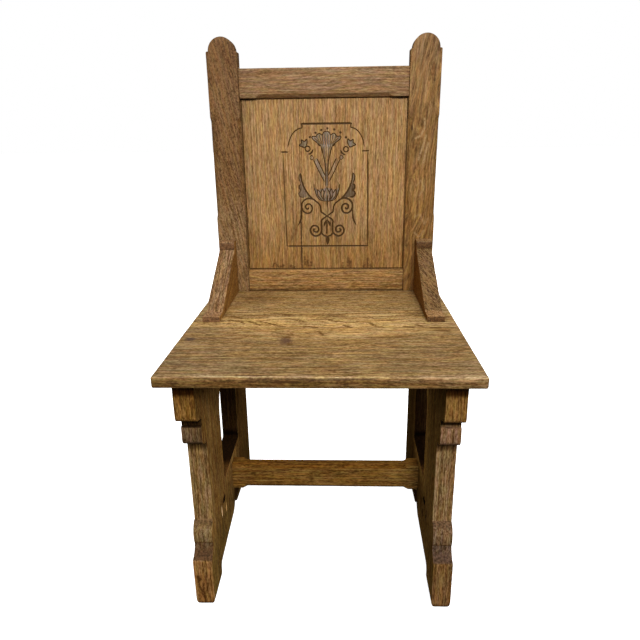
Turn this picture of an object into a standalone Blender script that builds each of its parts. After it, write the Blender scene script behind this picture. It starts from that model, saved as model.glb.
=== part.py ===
"""Oak hall chair: two pierced trestle ends carry a boarded seat and a framed, panelled back."""
import math

import bmesh
import bpy
from mathutils import Matrix

# Driving dimensions in metres. Depths are measured back from the seat's front edge.
FIT_GAP = 0.0003

SEAT_WIDTH = 0.470
SEAT_DEPTH = 0.470
SEAT_HEIGHT = 0.442
SEAT_THICKNESS = 0.018
SEAT_JOINT = 0.211
SEAT_EDGE_ROUND = 0.003

TRESTLE_THICKNESS = 0.032
TRESTLE_SIDE_INSET = 0.0205
TRESTLE_REAR_INSET = 0.023
BLOCK_FRONT = 0.0265
BLOCK_HEIGHT = 0.070
BLOCK_ROUND = 0.011
NECK_FRONT = 0.0565
NECK_HEIGHT = 0.0185
ROLL_FRONT = 0.0513
ROLL_HEIGHT = 0.0375
ROLL_TOP_ROUND = 0.004
ROLL_ROUND = (0.022, 0.015)
SHAFT_FRONT = 0.0755
KNEE_FRONT = 0.0595
KNEE_TOP = 0.149
KNEE_SWELL = 0.025
KNEE_BOTTOM = 0.113
KNEE_QUIRK = 0.0035
COVE_TOP = 0.109
FOOT_TOP = 0.0905
FOOT_FRONT = 0.0425
FOOT_LENGTH = 0.063
FOOT_ROUND = 0.004
CENTRE_BEHIND_SEAT_MIDDLE = 0.021
ARCH_SPRING = 0.031
ARCH_ROUND = 0.010
ARCH_SHOULDER = 0.041
ARCH_CROWN = 0.057
ARCH_POINT_RUN = 0.022

OPENING_FRONT = {"left": 0.178, "right": 0.186}
OPENING_REAR = 0.326
OPENING_RISE = 0.070
OPENING_SILL = 0.159
OPENING_SPRING = 0.290
OPENING_CORNER = 0.006
HOLE_DEPTH = 0.164
HOLE_HEIGHT = 0.124
HOLE_RADII = (0.010, 0.006)
SLOT_WIDTH = 0.007
FRONT_SLOT_DEPTH = 0.140
FRONT_SLOT_BOTTOM = 0.100
FRONT_SLOT_LENGTH = 0.021
REAR_SLOT_DEPTH = 0.175
REAR_SLOT_BOTTOM = 0.081
REAR_SLOT_LENGTH = 0.018

TRESTLE_TENON_LENGTH = 0.060
TRESTLE_TENON_WIDTH = 0.011
TRESTLE_TENON_HEIGHT = 0.011
TRESTLE_TENON_INSET = 0.050

STRETCHER_THICKNESS = 0.028
STRETCHER_HEIGHT = 0.053
STRETCHER_BOTTOM = 0.093
STRETCHER_TENON_LENGTH = 0.020
STRETCHER_TENON_HEIGHT = 0.036
STRETCHER_TENON_WIDTH = 0.012
STRETCHER_STOP = 0.020
STRETCHER_CHAMFER = 0.008

POST_WIDTH = 0.058
POST_THICKNESS = 0.028
POST_SIDE_INSET = 0.015
POST_SHOULDER = 0.906
POST_HEAD_RADIUS = 0.025
POST_SHOULDER_ROUND = 0.0025
POST_TENON_WIDTH = 0.034
POST_TENON_THICKNESS = 0.012
POST_CHAMFER = 0.007
POST_CHAMFER_ABOVE_BRACKET = 0.043
POST_CHAMFER_BELOW_RAIL = 0.0335

RAIL_SETBACK = 0.005
RAIL_THICKNESS = 0.022
RAIL_TENON_LENGTH = 0.020
RAIL_TENON_THICKNESS = 0.008
RAIL_TENON_SHOULDER = 0.009
TOP_RAIL_DROP = 0.0295
TOP_RAIL_HEIGHT = 0.053
TOP_RAIL_STOP = 0.030
TOP_RAIL_CHAMFER = 0.007
BOTTOM_RAIL_HEIGHT = 0.044
CHAMFER_RUN = 0.008

PANEL_THICKNESS = 0.009
PANEL_SETBACK = 0.014
PANEL_GROOVE = 0.008
PANEL_JOINT = -0.0495

BRACKET_THICKNESS = 0.031
BRACKET_LENGTH = 0.206
BRACKET_HEIGHT = 0.110
BRACKET_TOE_HEIGHT = 0.0105
BRACKET_TOE_LEDGE = 0.031
BRACKET_NIB_DEPTH = 0.024
BRACKET_NIB_HEIGHT = 0.016
BRACKET_NIB_STEP = 0.002
BRACKET_NIB_ROUND = 0.004

DOWEL_RADIUS = 0.004
DOWEL_LENGTH = 0.028
DOWEL_CHAMFER = 0.0008
SEAT_DOWEL_SEAT_DEPTH = 0.011
SEAT_DOWEL_TOE_OFFSET = 0.070
SEAT_DOWEL_HEEL_OFFSET = 0.030
POST_DOWEL_POST_DEPTH = 0.016
POST_DOWEL_LOWER = 0.026
POST_DOWEL_UPPER = 0.072

# Levels and places that follow from the driving dimensions
SEAT_UNDERSIDE = SEAT_HEIGHT - SEAT_THICKNESS
TRESTLE_OUTER = SEAT_WIDTH / 2 - TRESTLE_SIDE_INSET
TRESTLE_INNER = TRESTLE_OUTER - TRESTLE_THICKNESS
TRESTLE_MIDDLE = TRESTLE_OUTER - TRESTLE_THICKNESS / 2
TRESTLE_REAR = SEAT_DEPTH - TRESTLE_REAR_INSET
TRESTLE_CENTRE = SEAT_DEPTH / 2 + CENTRE_BEHIND_SEAT_MIDDLE
STRETCHER_MIDDLE = STRETCHER_BOTTOM + STRETCHER_HEIGHT / 2
POST_OUTER = SEAT_WIDTH / 2 - POST_SIDE_INSET
POST_INNER = POST_OUTER - POST_WIDTH
POST_MIDDLE = POST_OUTER - POST_WIDTH / 2
POST_FRONT = SEAT_DEPTH - POST_THICKNESS
POST_CENTRE = SEAT_DEPTH - POST_THICKNESS / 2
RAIL_FRONT = POST_FRONT + RAIL_SETBACK
RAIL_CENTRE = RAIL_FRONT + RAIL_THICKNESS / 2
TOP_RAIL_TOP = POST_SHOULDER - TOP_RAIL_DROP
TOP_RAIL_BOTTOM = TOP_RAIL_TOP - TOP_RAIL_HEIGHT
POST_CHAMFER_TOP = TOP_RAIL_BOTTOM - POST_CHAMFER_BELOW_RAIL
POST_CHAMFER_BOTTOM = SEAT_HEIGHT + BRACKET_HEIGHT + POST_CHAMFER_ABOVE_BRACKET
PANEL_FRONT = POST_FRONT + PANEL_SETBACK
PANEL_REAR = PANEL_FRONT + PANEL_THICKNESS
BOTTOM_RAIL_TOP = SEAT_HEIGHT + BOTTOM_RAIL_HEIGHT
BRACKET_MIDDLE = TRESTLE_OUTER - BRACKET_THICKNESS / 2
BRACKET_TOE = POST_FRONT - BRACKET_LENGTH

ARC_STEPS = 6
HEAD_STEPS = 20
DOWEL_SIDES = 16
CUT_MARGIN = 0.002
UNION_OVERLAP = 0.001
SIDES = (("left", -1), ("right", 1))


def clear_scene():
    for item in list(bpy.data.objects):
        bpy.data.objects.remove(item, do_unlink=True)


def new_collection(name):
    collection = bpy.data.collections.new(name)
    bpy.context.scene.collection.children.link(collection)
    return collection


clear_scene()
PARTS = new_collection("hall_chair")
CUTTERS = new_collection("hall_chair_cutters")


def world_y(depth):
    """World Y of a depth behind the seat's front edge."""
    return depth - SEAT_DEPTH / 2


# Materials
def oak(name, colour, roughness):
    material = bpy.data.materials.new(name)
    material.use_nodes = True
    shader = material.node_tree.nodes["Principled BSDF"]
    shader.inputs["Base Color"].default_value = (*colour, 1.0)
    shader.inputs["Roughness"].default_value = roughness
    shader.inputs["Metallic"].default_value = 0.0
    return material


SEAT_OAK = (0.29, 0.17, 0.065)
TRESTLE_OAK = (0.27, 0.165, 0.07)
FRAME_OAK = (0.25, 0.145, 0.06)
PANEL_OAK = (0.36, 0.21, 0.085)
DOWEL_BEECH = (0.45, 0.33, 0.20)


# Solids
def add_object(name, mesh, collection):
    item = bpy.data.objects.new(name, mesh)
    collection.objects.link(item)
    if collection is CUTTERS:
        item.hide_render = True
        item.display_type = "WIRE"
    return item


def box_mesh(low, high):
    mesh = bpy.data.meshes.new("box")
    bm = bmesh.new()
    bmesh.ops.create_cube(bm, size=1.0)
    size = [b - a for a, b in zip(low, high)]
    middle = [(a + b) / 2 for a, b in zip(low, high)]
    bmesh.ops.transform(bm, verts=bm.verts, matrix=Matrix.Translation(middle) @ Matrix.Diagonal((*size, 1.0)))
    bm.to_mesh(mesh)
    bm.free()
    return mesh


def box(name, low, high, collection):
    """A box from two corners given as (x, depth, z)."""
    low = (low[0], world_y(low[1]), low[2])
    high = (high[0], world_y(high[1]), high[2])
    return add_object(name, box_mesh(low, high), collection)


def outline_solid(name, loops, thickness, matrix, collection):
    """A flat outline, with any further loops as holes, extruded to a thickness about its own plane."""
    curve = bpy.data.curves.new(name, "CURVE")
    curve.dimensions = "2D"
    curve.fill_mode = "BOTH"
    curve.extrude = thickness / 2
    for loop in loops:
        spline = curve.splines.new("POLY")
        spline.points.add(len(loop) - 1)
        for point, (u, v) in zip(spline.points, loop):
            point.co = (u, v, 0.0, 1.0)
        spline.use_cyclic_u = True
    drawing = bpy.data.objects.new(name + "_outline", curve)
    drawing.matrix_world = matrix
    bpy.context.scene.collection.objects.link(drawing)
    bpy.context.view_layer.update()
    evaluated = drawing.evaluated_get(bpy.context.evaluated_depsgraph_get())
    mesh = bpy.data.meshes.new_from_object(evaluated)
    bm = bmesh.new()
    bm.from_mesh(mesh)
    bmesh.ops.remove_doubles(bm, verts=bm.verts, dist=1e-6)
    bmesh.ops.recalc_face_normals(bm, faces=bm.faces)
    bm.to_mesh(mesh)
    bm.free()
    item = add_object(name, mesh, collection)
    item.matrix_world = drawing.matrix_world.copy()
    bpy.data.objects.remove(drawing)
    return item


def cylinder(name, radius, length, matrix, collection):
    mesh = bpy.data.meshes.new(name)
    bm = bmesh.new()
    bmesh.ops.create_cone(bm, cap_ends=True, segments=DOWEL_SIDES, radius1=radius, radius2=radius, depth=length)
    bm.to_mesh(mesh)
    bm.free()
    mesh.shade_smooth()
    mesh.set_sharp_from_angle(angle=math.radians(40))
    item = add_object(name, mesh, collection)
    item.matrix_world = matrix
    return item


def chamfer_bar(name, length, leg, matrix):
    """A four-sided bar with pointed ends, centred on an arris, that cuts a stopped chamfer of this leg."""
    mesh = bpy.data.meshes.new(name)
    bm = bmesh.new()
    bmesh.ops.create_cone(bm, cap_ends=True, segments=4, radius1=leg, radius2=leg, depth=length)
    ends = [face for face in bm.faces if abs(face.normal.z) > 0.5]
    bmesh.ops.poke(bm, faces=ends, offset=CHAMFER_RUN)
    bm.to_mesh(mesh)
    bm.free()
    item = add_object(name, mesh, CUTTERS)
    item.matrix_world = matrix
    return item


def combine(item, operation, others):
    for other in others:
        modifier = item.modifiers.new(other.name, "BOOLEAN")
        modifier.operation = operation
        modifier.solver = "EXACT"
        modifier.object = other


def soften(item, width, keeps_sharp):
    """Rounds every edge of a box apart from those whose two ends keeps_sharp accepts."""
    mesh = item.data
    weights = mesh.attributes.new("bevel_weight_edge", "FLOAT", "EDGE")
    for edge in mesh.edges:
        ends = [mesh.vertices[index].co for index in edge.vertices]
        sharp = all(keeps_sharp(end) for end in ends)
        weights.data[edge.index].value = 0.0 if sharp else 1.0
    bevel = item.modifiers.new("worn_edge", "BEVEL")
    bevel.limit_method = "WEIGHT"
    bevel.width = width
    bevel.segments = 2


def finish(item, colour, roughness):
    item.data.materials.clear()
    item.data.materials.append(oak(item.name + "_wood", colour, roughness))
    item.parent = FRAME


FRAME = bpy.data.objects.new("chair_frame", None)
PARTS.objects.link(FRAME)


# Outlines
def arc(centre, radii, start, end, steps=ARC_STEPS):
    """Points along an arc from start to end, in degrees, with both ends."""
    points = []
    for step in range(steps + 1):
        angle = math.radians(start + (end - start) * step / steps)
        points.append((centre[0] + radii[0] * math.cos(angle), centre[1] + radii[1] * math.sin(angle)))
    return points


def bend(start, control, end, steps=ARC_STEPS):
    """Points along a curve that leaves start and reaches end aiming at control."""
    points = []
    for step in range(steps + 1):
        t = step / steps
        blend = ((1 - t) ** 2, 2 * t * (1 - t), t ** 2)
        points.append(tuple(sum(k * p[axis] for k, p in zip(blend, (start, control, end))) for axis in (0, 1)))
    return points


def trestle_front():
    """The moulded front edge, from the seat down to the floor."""
    block_bottom = SEAT_UNDERSIDE - BLOCK_HEIGHT
    roll_top = block_bottom - NECK_HEIGHT
    roll_bottom = roll_top - ROLL_HEIGHT
    knee_low = KNEE_TOP - KNEE_SWELL
    points = [(BLOCK_FRONT, SEAT_UNDERSIDE - FIT_GAP)]
    points += arc((BLOCK_FRONT + BLOCK_ROUND, block_bottom + BLOCK_ROUND), (BLOCK_ROUND, BLOCK_ROUND), 180, 270)
    points += [(NECK_FRONT, block_bottom), (NECK_FRONT, roll_top)]
    points += arc((ROLL_FRONT + ROLL_TOP_ROUND, roll_top - ROLL_TOP_ROUND),
                  (ROLL_TOP_ROUND, ROLL_TOP_ROUND), 90, 180)
    points += arc((ROLL_FRONT + ROLL_ROUND[0], roll_bottom + ROLL_ROUND[1]), ROLL_ROUND, 180, 270)
    points += [(SHAFT_FRONT, roll_bottom)]
    points += arc((SHAFT_FRONT, knee_low), (SHAFT_FRONT - KNEE_FRONT, KNEE_SWELL), 90, 180)
    cove_start = (KNEE_FRONT + KNEE_QUIRK, COVE_TOP)
    foot_lip = (FOOT_FRONT + FOOT_ROUND / 3, FOOT_TOP)
    cove_control = (KNEE_FRONT, (COVE_TOP + 3 * FOOT_TOP) / 4)
    points += [(KNEE_FRONT + KNEE_QUIRK / 2, KNEE_BOTTOM)]
    points += bend(cove_start, cove_control, foot_lip)
    points += [(FOOT_FRONT, FOOT_TOP - FOOT_ROUND)]
    points += arc((FOOT_FRONT + FOOT_ROUND, FOOT_ROUND), (FOOT_ROUND, FOOT_ROUND), 180, 270)
    return points


def trestle_arch():
    """The pointed arch between the feet, from the front foot to the rear foot."""
    foot_end = FOOT_FRONT + FOOT_LENGTH
    shoulder = (TRESTLE_CENTRE - ARCH_POINT_RUN, ARCH_SHOULDER)
    crown = (TRESTLE_CENTRE, ARCH_CROWN)
    control = (TRESTLE_CENTRE - ARCH_POINT_RUN / 3, ARCH_SHOULDER + (ARCH_CROWN - ARCH_SHOULDER) / 5)
    half = [(foot_end, 0.0)]
    half += arc((foot_end + ARCH_ROUND, ARCH_SPRING - ARCH_ROUND), (ARCH_ROUND, ARCH_ROUND), 180, 90)
    half += bend(shoulder, control, crown)
    mirrored = [(2 * TRESTLE_CENTRE - depth, height) for depth, height in reversed(half[:-1])]
    return half + mirrored


def trestle_rear():
    points = arc((TRESTLE_REAR - FOOT_ROUND, FOOT_ROUND), (FOOT_ROUND, FOOT_ROUND), 270, 360)
    return points + [(TRESTLE_REAR, SEAT_UNDERSIDE - FIT_GAP)]


def arched_opening(side):
    """The arched opening, whose front edge is not alike in the two ends."""
    front, rear = OPENING_FRONT[side], OPENING_REAR
    corner = (OPENING_CORNER, OPENING_CORNER)
    low = OPENING_SILL + OPENING_CORNER
    points = arc((front + OPENING_CORNER, low), corner, 180, 270)
    points += arc((rear - OPENING_CORNER, low), corner, 270, 360)
    points += arc(((front + rear) / 2, OPENING_SPRING), ((rear - front) / 2, OPENING_RISE), 0, 180, HEAD_STEPS)
    return points


def slot(depth, bottom, length):
    radius = SLOT_WIDTH / 2
    points = arc((depth, bottom + radius), (radius, radius), 180, 360)
    return points + arc((depth, bottom + length - radius), (radius, radius), 0, 180)


def trestle_loops(side):
    outer = trestle_front() + trestle_arch() + trestle_rear()
    hole = arc((HOLE_DEPTH, HOLE_HEIGHT), HOLE_RADII, 0, 360, 2 * ARC_STEPS)[:-1]
    front_slot = slot(FRONT_SLOT_DEPTH, FRONT_SLOT_BOTTOM, FRONT_SLOT_LENGTH)
    rear_slot = slot(REAR_SLOT_DEPTH, REAR_SLOT_BOTTOM, REAR_SLOT_LENGTH)
    return [outer, arched_opening(side), hole, front_slot, rear_slot]


def post_loop():
    """A post from the front: square foot, small rounded shoulders and a round head."""
    half = POST_WIDTH / 2
    rounding = (POST_SHOULDER_ROUND, POST_SHOULDER_ROUND)
    low = POST_SHOULDER - POST_SHOULDER_ROUND
    points = [(-half, SEAT_HEIGHT + FIT_GAP), (half, SEAT_HEIGHT + FIT_GAP)]
    points += arc((half - POST_SHOULDER_ROUND, low), rounding, 0, 90)
    points += arc((0.0, POST_SHOULDER), (POST_HEAD_RADIUS, POST_HEAD_RADIUS), 0, 180, HEAD_STEPS)
    points += arc((POST_SHOULDER_ROUND - half, low), rounding, 90, 180)
    return points


def bracket_loop():
    """A bracket from the side: low toe, straight slope and a square nib against the post."""
    bottom = SEAT_HEIGHT + FIT_GAP
    rear = POST_FRONT - FIT_GAP
    top = SEAT_HEIGHT + BRACKET_HEIGHT
    toe_top = SEAT_HEIGHT + BRACKET_TOE_HEIGHT
    nib_front = POST_FRONT - BRACKET_NIB_DEPTH
    nib_bottom = top - BRACKET_NIB_HEIGHT
    rounding = (BRACKET_NIB_ROUND, BRACKET_NIB_ROUND)
    points = [(rear, bottom), (BRACKET_TOE, bottom), (BRACKET_TOE, toe_top)]
    points += [(BRACKET_TOE + BRACKET_TOE_LEDGE, toe_top)]
    points += [(nib_front + BRACKET_NIB_STEP, nib_bottom), (nib_front, nib_bottom)]
    points += arc((nib_front + BRACKET_NIB_ROUND, top - BRACKET_NIB_ROUND), rounding, 180, 90)
    return points + [(rear, top)]


# Frames for outlines: side view (depth, height) at an X, and front view (x, height) at a depth
def side_view(x):
    turn = Matrix(((0, 0, 1, 0), (1, 0, 0, 0), (0, 1, 0, 0), (0, 0, 0, 1)))
    return Matrix.Translation((x, world_y(0.0), 0.0)) @ turn


def front_view(x, depth):
    return Matrix.Translation((x, world_y(depth), 0.0)) @ Matrix.Rotation(math.pi / 2, 4, "X")


def along_x(x, depth, z):
    return Matrix.Translation((x, world_y(depth), z)) @ Matrix.Rotation(math.pi / 2, 4, "Y")


def along_y(x, depth, z):
    return Matrix.Translation((x, world_y(depth), z)) @ Matrix.Rotation(math.pi / 2, 4, "X")


def along_z(x, depth, z):
    return Matrix.Translation((x, world_y(depth), z))


# Places shared by the pieces that fit together
def trestle_tenons():
    """Depth ranges of the two tenons on a trestle's top edge."""
    front = BLOCK_FRONT + TRESTLE_TENON_INSET
    rear = TRESTLE_REAR - TRESTLE_TENON_INSET
    return (("front", front, front + TRESTLE_TENON_LENGTH), ("rear", rear - TRESTLE_TENON_LENGTH, rear))


def seat_dowel_places():
    """Name, depth and centre height of the dowels between a bracket and the seat."""
    height = SEAT_HEIGHT - SEAT_DOWEL_SEAT_DEPTH + DOWEL_LENGTH / 2
    return (("seat_dowel_front", BRACKET_TOE + SEAT_DOWEL_TOE_OFFSET, height),
            ("seat_dowel_rear", POST_FRONT - SEAT_DOWEL_HEEL_OFFSET, height))


def post_dowel_places():
    """Name, centre depth and height of the dowels between a bracket and its post."""
    depth = POST_FRONT + POST_DOWEL_POST_DEPTH - DOWEL_LENGTH / 2
    return (("post_dowel_lower", depth, SEAT_HEIGHT + POST_DOWEL_LOWER),
            ("post_dowel_upper", depth, SEAT_HEIGHT + POST_DOWEL_UPPER))


def dowel_bores(side, sign):
    """Bores for one bracket's dowels: the seat's two and the post's two."""
    radius = DOWEL_RADIUS + FIT_GAP
    length = DOWEL_LENGTH + 2 * FIT_GAP
    x = sign * BRACKET_MIDDLE
    seat_bores = [cylinder(f"{side}_{name}_bore", radius, length, along_z(x, depth, z), CUTTERS)
                  for name, depth, z in seat_dowel_places()]
    post_bores = [cylinder(f"{side}_{name}_bore", radius, length, along_y(x, depth, z), CUTTERS)
                  for name, depth, z in post_dowel_places()]
    return seat_bores, post_bores


def span(sign, near, far):
    """Low and high X of a range given outwards from the chair's middle plane."""
    return sorted((sign * near, sign * far))


# Pieces
def make_trestle(side, sign):
    trestle = outline_solid(f"{side}_trestle_end", trestle_loops(side), TRESTLE_THICKNESS,
                            side_view(sign * TRESTLE_MIDDLE), PARTS)
    half = TRESTLE_TENON_WIDTH / 2
    low_x, high_x = span(sign, TRESTLE_MIDDLE - half, TRESTLE_MIDDLE + half)
    tenons = [box(f"{side}_trestle_tenon_{name}",
                  (low_x, start, SEAT_UNDERSIDE - FIT_GAP - UNION_OVERLAP),
                  (high_x, end, SEAT_UNDERSIDE + TRESTLE_TENON_HEIGHT), CUTTERS)
              for name, start, end in trestle_tenons()]
    combine(trestle, "UNION", tenons)
    combine(trestle, "DIFFERENCE", [stretcher_mortise(side, sign)])
    finish(trestle, TRESTLE_OAK, 0.55)


def stretcher_mortise(side, sign):
    half_width = STRETCHER_TENON_WIDTH / 2 + FIT_GAP
    half_height = STRETCHER_TENON_HEIGHT / 2 + FIT_GAP
    low_x, high_x = span(sign, TRESTLE_INNER - CUT_MARGIN, TRESTLE_INNER + STRETCHER_TENON_LENGTH + FIT_GAP)
    return box(f"{side}_stretcher_mortise",
               (low_x, TRESTLE_CENTRE - half_width, STRETCHER_MIDDLE - half_height),
               (high_x, TRESTLE_CENTRE + half_width, STRETCHER_MIDDLE + half_height), CUTTERS)


def make_stretcher():
    end = TRESTLE_INNER - FIT_GAP
    front = TRESTLE_CENTRE - STRETCHER_THICKNESS / 2
    rear = TRESTLE_CENTRE + STRETCHER_THICKNESS / 2
    top = STRETCHER_BOTTOM + STRETCHER_HEIGHT
    stretcher = box("stretcher", (-end, front, STRETCHER_BOTTOM), (end, rear, top), PARTS)
    reach = TRESTLE_INNER + STRETCHER_TENON_LENGTH
    half_width = STRETCHER_TENON_WIDTH / 2
    half_height = STRETCHER_TENON_HEIGHT / 2
    tenon = box("stretcher_tenons",
                (-reach, TRESTLE_CENTRE - half_width, STRETCHER_MIDDLE - half_height),
                (reach, TRESTLE_CENTRE + half_width, STRETCHER_MIDDLE + half_height), CUTTERS)
    combine(stretcher, "UNION", [tenon])
    length = 2 * (TRESTLE_INNER - STRETCHER_STOP - CHAMFER_RUN)
    bars = [chamfer_bar(f"stretcher_chamfer_{row}_{column}", length, STRETCHER_CHAMFER, along_x(0.0, depth, z))
            for row, z in (("lower", STRETCHER_BOTTOM), ("upper", top))
            for column, depth in (("front", front), ("rear", rear))]
    combine(stretcher, "DIFFERENCE", bars)
    finish(stretcher, TRESTLE_OAK, 0.55)


def seat_cutters(bores):
    """Mortises for the trestle tenons and the post tenons, with the bracket dowels' bores."""
    cutters = list(bores)
    for side, sign in SIDES:
        half = TRESTLE_TENON_WIDTH / 2 + FIT_GAP
        low_x, high_x = span(sign, TRESTLE_MIDDLE - half, TRESTLE_MIDDLE + half)
        for name, start, end in trestle_tenons():
            cutters.append(box(f"{side}_seat_mortise_{name}",
                               (low_x, start - FIT_GAP, SEAT_UNDERSIDE - CUT_MARGIN),
                               (high_x, end + FIT_GAP, SEAT_UNDERSIDE + TRESTLE_TENON_HEIGHT + FIT_GAP), CUTTERS))
        low_x, high_x = span(sign, POST_MIDDLE - POST_TENON_WIDTH / 2 - FIT_GAP,
                             POST_MIDDLE + POST_TENON_WIDTH / 2 + FIT_GAP)
        half = POST_TENON_THICKNESS / 2 + FIT_GAP
        cutters.append(box(f"{side}_post_mortise", (low_x, POST_CENTRE - half, SEAT_UNDERSIDE - CUT_MARGIN),
                           (high_x, POST_CENTRE + half, SEAT_HEIGHT + CUT_MARGIN), CUTTERS))
    return cutters


def make_seat(bores):
    half = SEAT_WIDTH / 2
    boards = (("seat_front_board", 0.0, SEAT_JOINT - FIT_GAP / 2),
              ("seat_rear_board", SEAT_JOINT + FIT_GAP / 2, SEAT_DEPTH))
    cutters = seat_cutters(bores)
    for name, start, end in boards:
        board = box(name, (-half, start, SEAT_UNDERSIDE), (half, end, SEAT_HEIGHT), PARTS)
        soften(board, SEAT_EDGE_ROUND, lambda point: abs(point.y - world_y(SEAT_JOINT)) < FIT_GAP)
        combine(board, "DIFFERENCE", cutters)
        finish(board, SEAT_OAK, 0.45)


def rail_mortise(name, sign, low, high):
    """A blind mortise in a post for one rail tenon between two heights."""
    half = RAIL_TENON_THICKNESS / 2 + FIT_GAP
    low_x, high_x = span(sign, POST_INNER - CUT_MARGIN, POST_INNER + RAIL_TENON_LENGTH + FIT_GAP)
    return box(name, (low_x, RAIL_CENTRE - half, low - FIT_GAP),
               (high_x, RAIL_CENTRE + half, high + FIT_GAP), CUTTERS)


def post_groove(side, sign):
    low_x, high_x = span(sign, POST_INNER - CUT_MARGIN, POST_INNER + PANEL_GROOVE)
    return box(f"{side}_post_groove",
               (low_x, PANEL_FRONT - FIT_GAP, BOTTOM_RAIL_TOP - PANEL_GROOVE),
               (high_x, PANEL_REAR + FIT_GAP, TOP_RAIL_BOTTOM + PANEL_GROOVE), CUTTERS)


def make_post(side, sign, bores):
    x = sign * POST_MIDDLE
    post = outline_solid(f"{side}_post", [post_loop()], POST_THICKNESS, front_view(x, POST_CENTRE), PARTS)
    half_width, half_depth = POST_TENON_WIDTH / 2, POST_TENON_THICKNESS / 2
    tenon = box(f"{side}_post_tenon", (x - half_width, POST_CENTRE - half_depth, SEAT_UNDERSIDE + FIT_GAP),
                (x + half_width, POST_CENTRE + half_depth, SEAT_HEIGHT + FIT_GAP + UNION_OVERLAP), CUTTERS)
    combine(post, "UNION", [tenon])
    cutters = [post_groove(side, sign)]
    cutters += [rail_mortise(f"{side}_{name}_mortise", sign, low, high) for name, low, high in rail_tenons()]
    length = POST_CHAMFER_TOP - POST_CHAMFER_BOTTOM - 2 * CHAMFER_RUN
    middle = (POST_CHAMFER_TOP + POST_CHAMFER_BOTTOM) / 2
    for name, edge in (("inner", POST_INNER), ("outer", POST_OUTER)):
        cutters.append(chamfer_bar(f"{side}_post_chamfer_{name}", length, POST_CHAMFER,
                                   along_z(sign * edge, POST_FRONT, middle)))
    combine(post, "DIFFERENCE", cutters + bores)
    finish(post, FRAME_OAK, 0.55)


def rail_levels():
    return (("bottom_rail", SEAT_HEIGHT + FIT_GAP, BOTTOM_RAIL_TOP),
            ("top_rail", TOP_RAIL_BOTTOM, TOP_RAIL_TOP))


def rail_tenons():
    return [(name, low + RAIL_TENON_SHOULDER, high - RAIL_TENON_SHOULDER) for name, low, high in rail_levels()]


def make_rails():
    end = POST_INNER - FIT_GAP
    reach = POST_INNER + RAIL_TENON_LENGTH
    half = RAIL_TENON_THICKNESS / 2
    rails = {}
    for (name, low, high), (_, tenon_low, tenon_high) in zip(rail_levels(), rail_tenons()):
        rail = box(name, (-end, RAIL_FRONT, low), (end, RAIL_FRONT + RAIL_THICKNESS, high), PARTS)
        tenons = box(f"{name}_tenons", (-reach, RAIL_CENTRE - half, tenon_low),
                     (reach, RAIL_CENTRE + half, tenon_high), CUTTERS)
        combine(rail, "UNION", [tenons])
        rails[name] = rail
    grooves = (("bottom_rail", BOTTOM_RAIL_TOP - PANEL_GROOVE, BOTTOM_RAIL_TOP + CUT_MARGIN),
               ("top_rail", TOP_RAIL_BOTTOM - CUT_MARGIN, TOP_RAIL_BOTTOM + PANEL_GROOVE))
    for name, low, high in grooves:
        groove = box(f"{name}_groove", (-reach, PANEL_FRONT - FIT_GAP, low),
                     (reach, PANEL_REAR + FIT_GAP, high), CUTTERS)
        combine(rails[name], "DIFFERENCE", [groove])
    length = 2 * (POST_INNER - TOP_RAIL_STOP - CHAMFER_RUN)
    bar = chamfer_bar("top_rail_chamfer", length, TOP_RAIL_CHAMFER, along_x(0.0, RAIL_FRONT, TOP_RAIL_BOTTOM))
    combine(rails["top_rail"], "DIFFERENCE", [bar])
    for rail in rails.values():
        finish(rail, FRAME_OAK, 0.55)


def make_panel():
    reach = POST_INNER + PANEL_GROOVE - FIT_GAP
    low = BOTTOM_RAIL_TOP - PANEL_GROOVE + FIT_GAP
    high = TOP_RAIL_BOTTOM + PANEL_GROOVE - FIT_GAP
    boards = (("panel_left_board", -reach, PANEL_JOINT - FIT_GAP / 2),
              ("panel_right_board", PANEL_JOINT + FIT_GAP / 2, reach))
    for name, start, end in boards:
        board = box(name, (start, PANEL_FRONT, low), (end, PANEL_REAR, high), PARTS)
        finish(board, PANEL_OAK, 0.5)


def make_bracket(side, sign, bores):
    bracket = outline_solid(f"{side}_bracket", [bracket_loop()], BRACKET_THICKNESS,
                            side_view(sign * BRACKET_MIDDLE), PARTS)
    combine(bracket, "DIFFERENCE", bores)
    finish(bracket, FRAME_OAK, 0.55)


def make_dowels(side, sign):
    x = sign * BRACKET_MIDDLE
    places = [(name, along_z(x, depth, z)) for name, depth, z in seat_dowel_places()]
    places += [(name, along_y(x, depth, z)) for name, depth, z in post_dowel_places()]
    for name, matrix in places:
        dowel = cylinder(f"{side}_bracket_{name}", DOWEL_RADIUS, DOWEL_LENGTH, matrix, PARTS)
        bevel = dowel.modifiers.new("eased_ends", "BEVEL")
        bevel.limit_method = "ANGLE"
        bevel.angle_limit = math.radians(60)
        bevel.width = DOWEL_CHAMFER
        bevel.segments = 1
        finish(dowel, DOWEL_BEECH, 0.6)


def build():
    all_seat_bores = []
    for side, sign in SIDES:
        seat_bores, post_bores = dowel_bores(side, sign)
        all_seat_bores += seat_bores
        make_trestle(side, sign)
        make_post(side, sign, post_bores)
        make_bracket(side, sign, seat_bores + post_bores)
        make_dowels(side, sign)
    make_seat(all_seat_bores)
    make_stretcher()
    make_rails()
    make_panel()
    bpy.context.view_layer.update()


build()
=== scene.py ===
"""Oak hall chair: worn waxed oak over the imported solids, with the incised ornament of the back panel."""
import math
from dataclasses import dataclass

import bmesh
import bpy
import numpy as np
from mathutils import Matrix, Vector, noise
from mathutils.geometry import delaunay_2d_cdt


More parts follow.
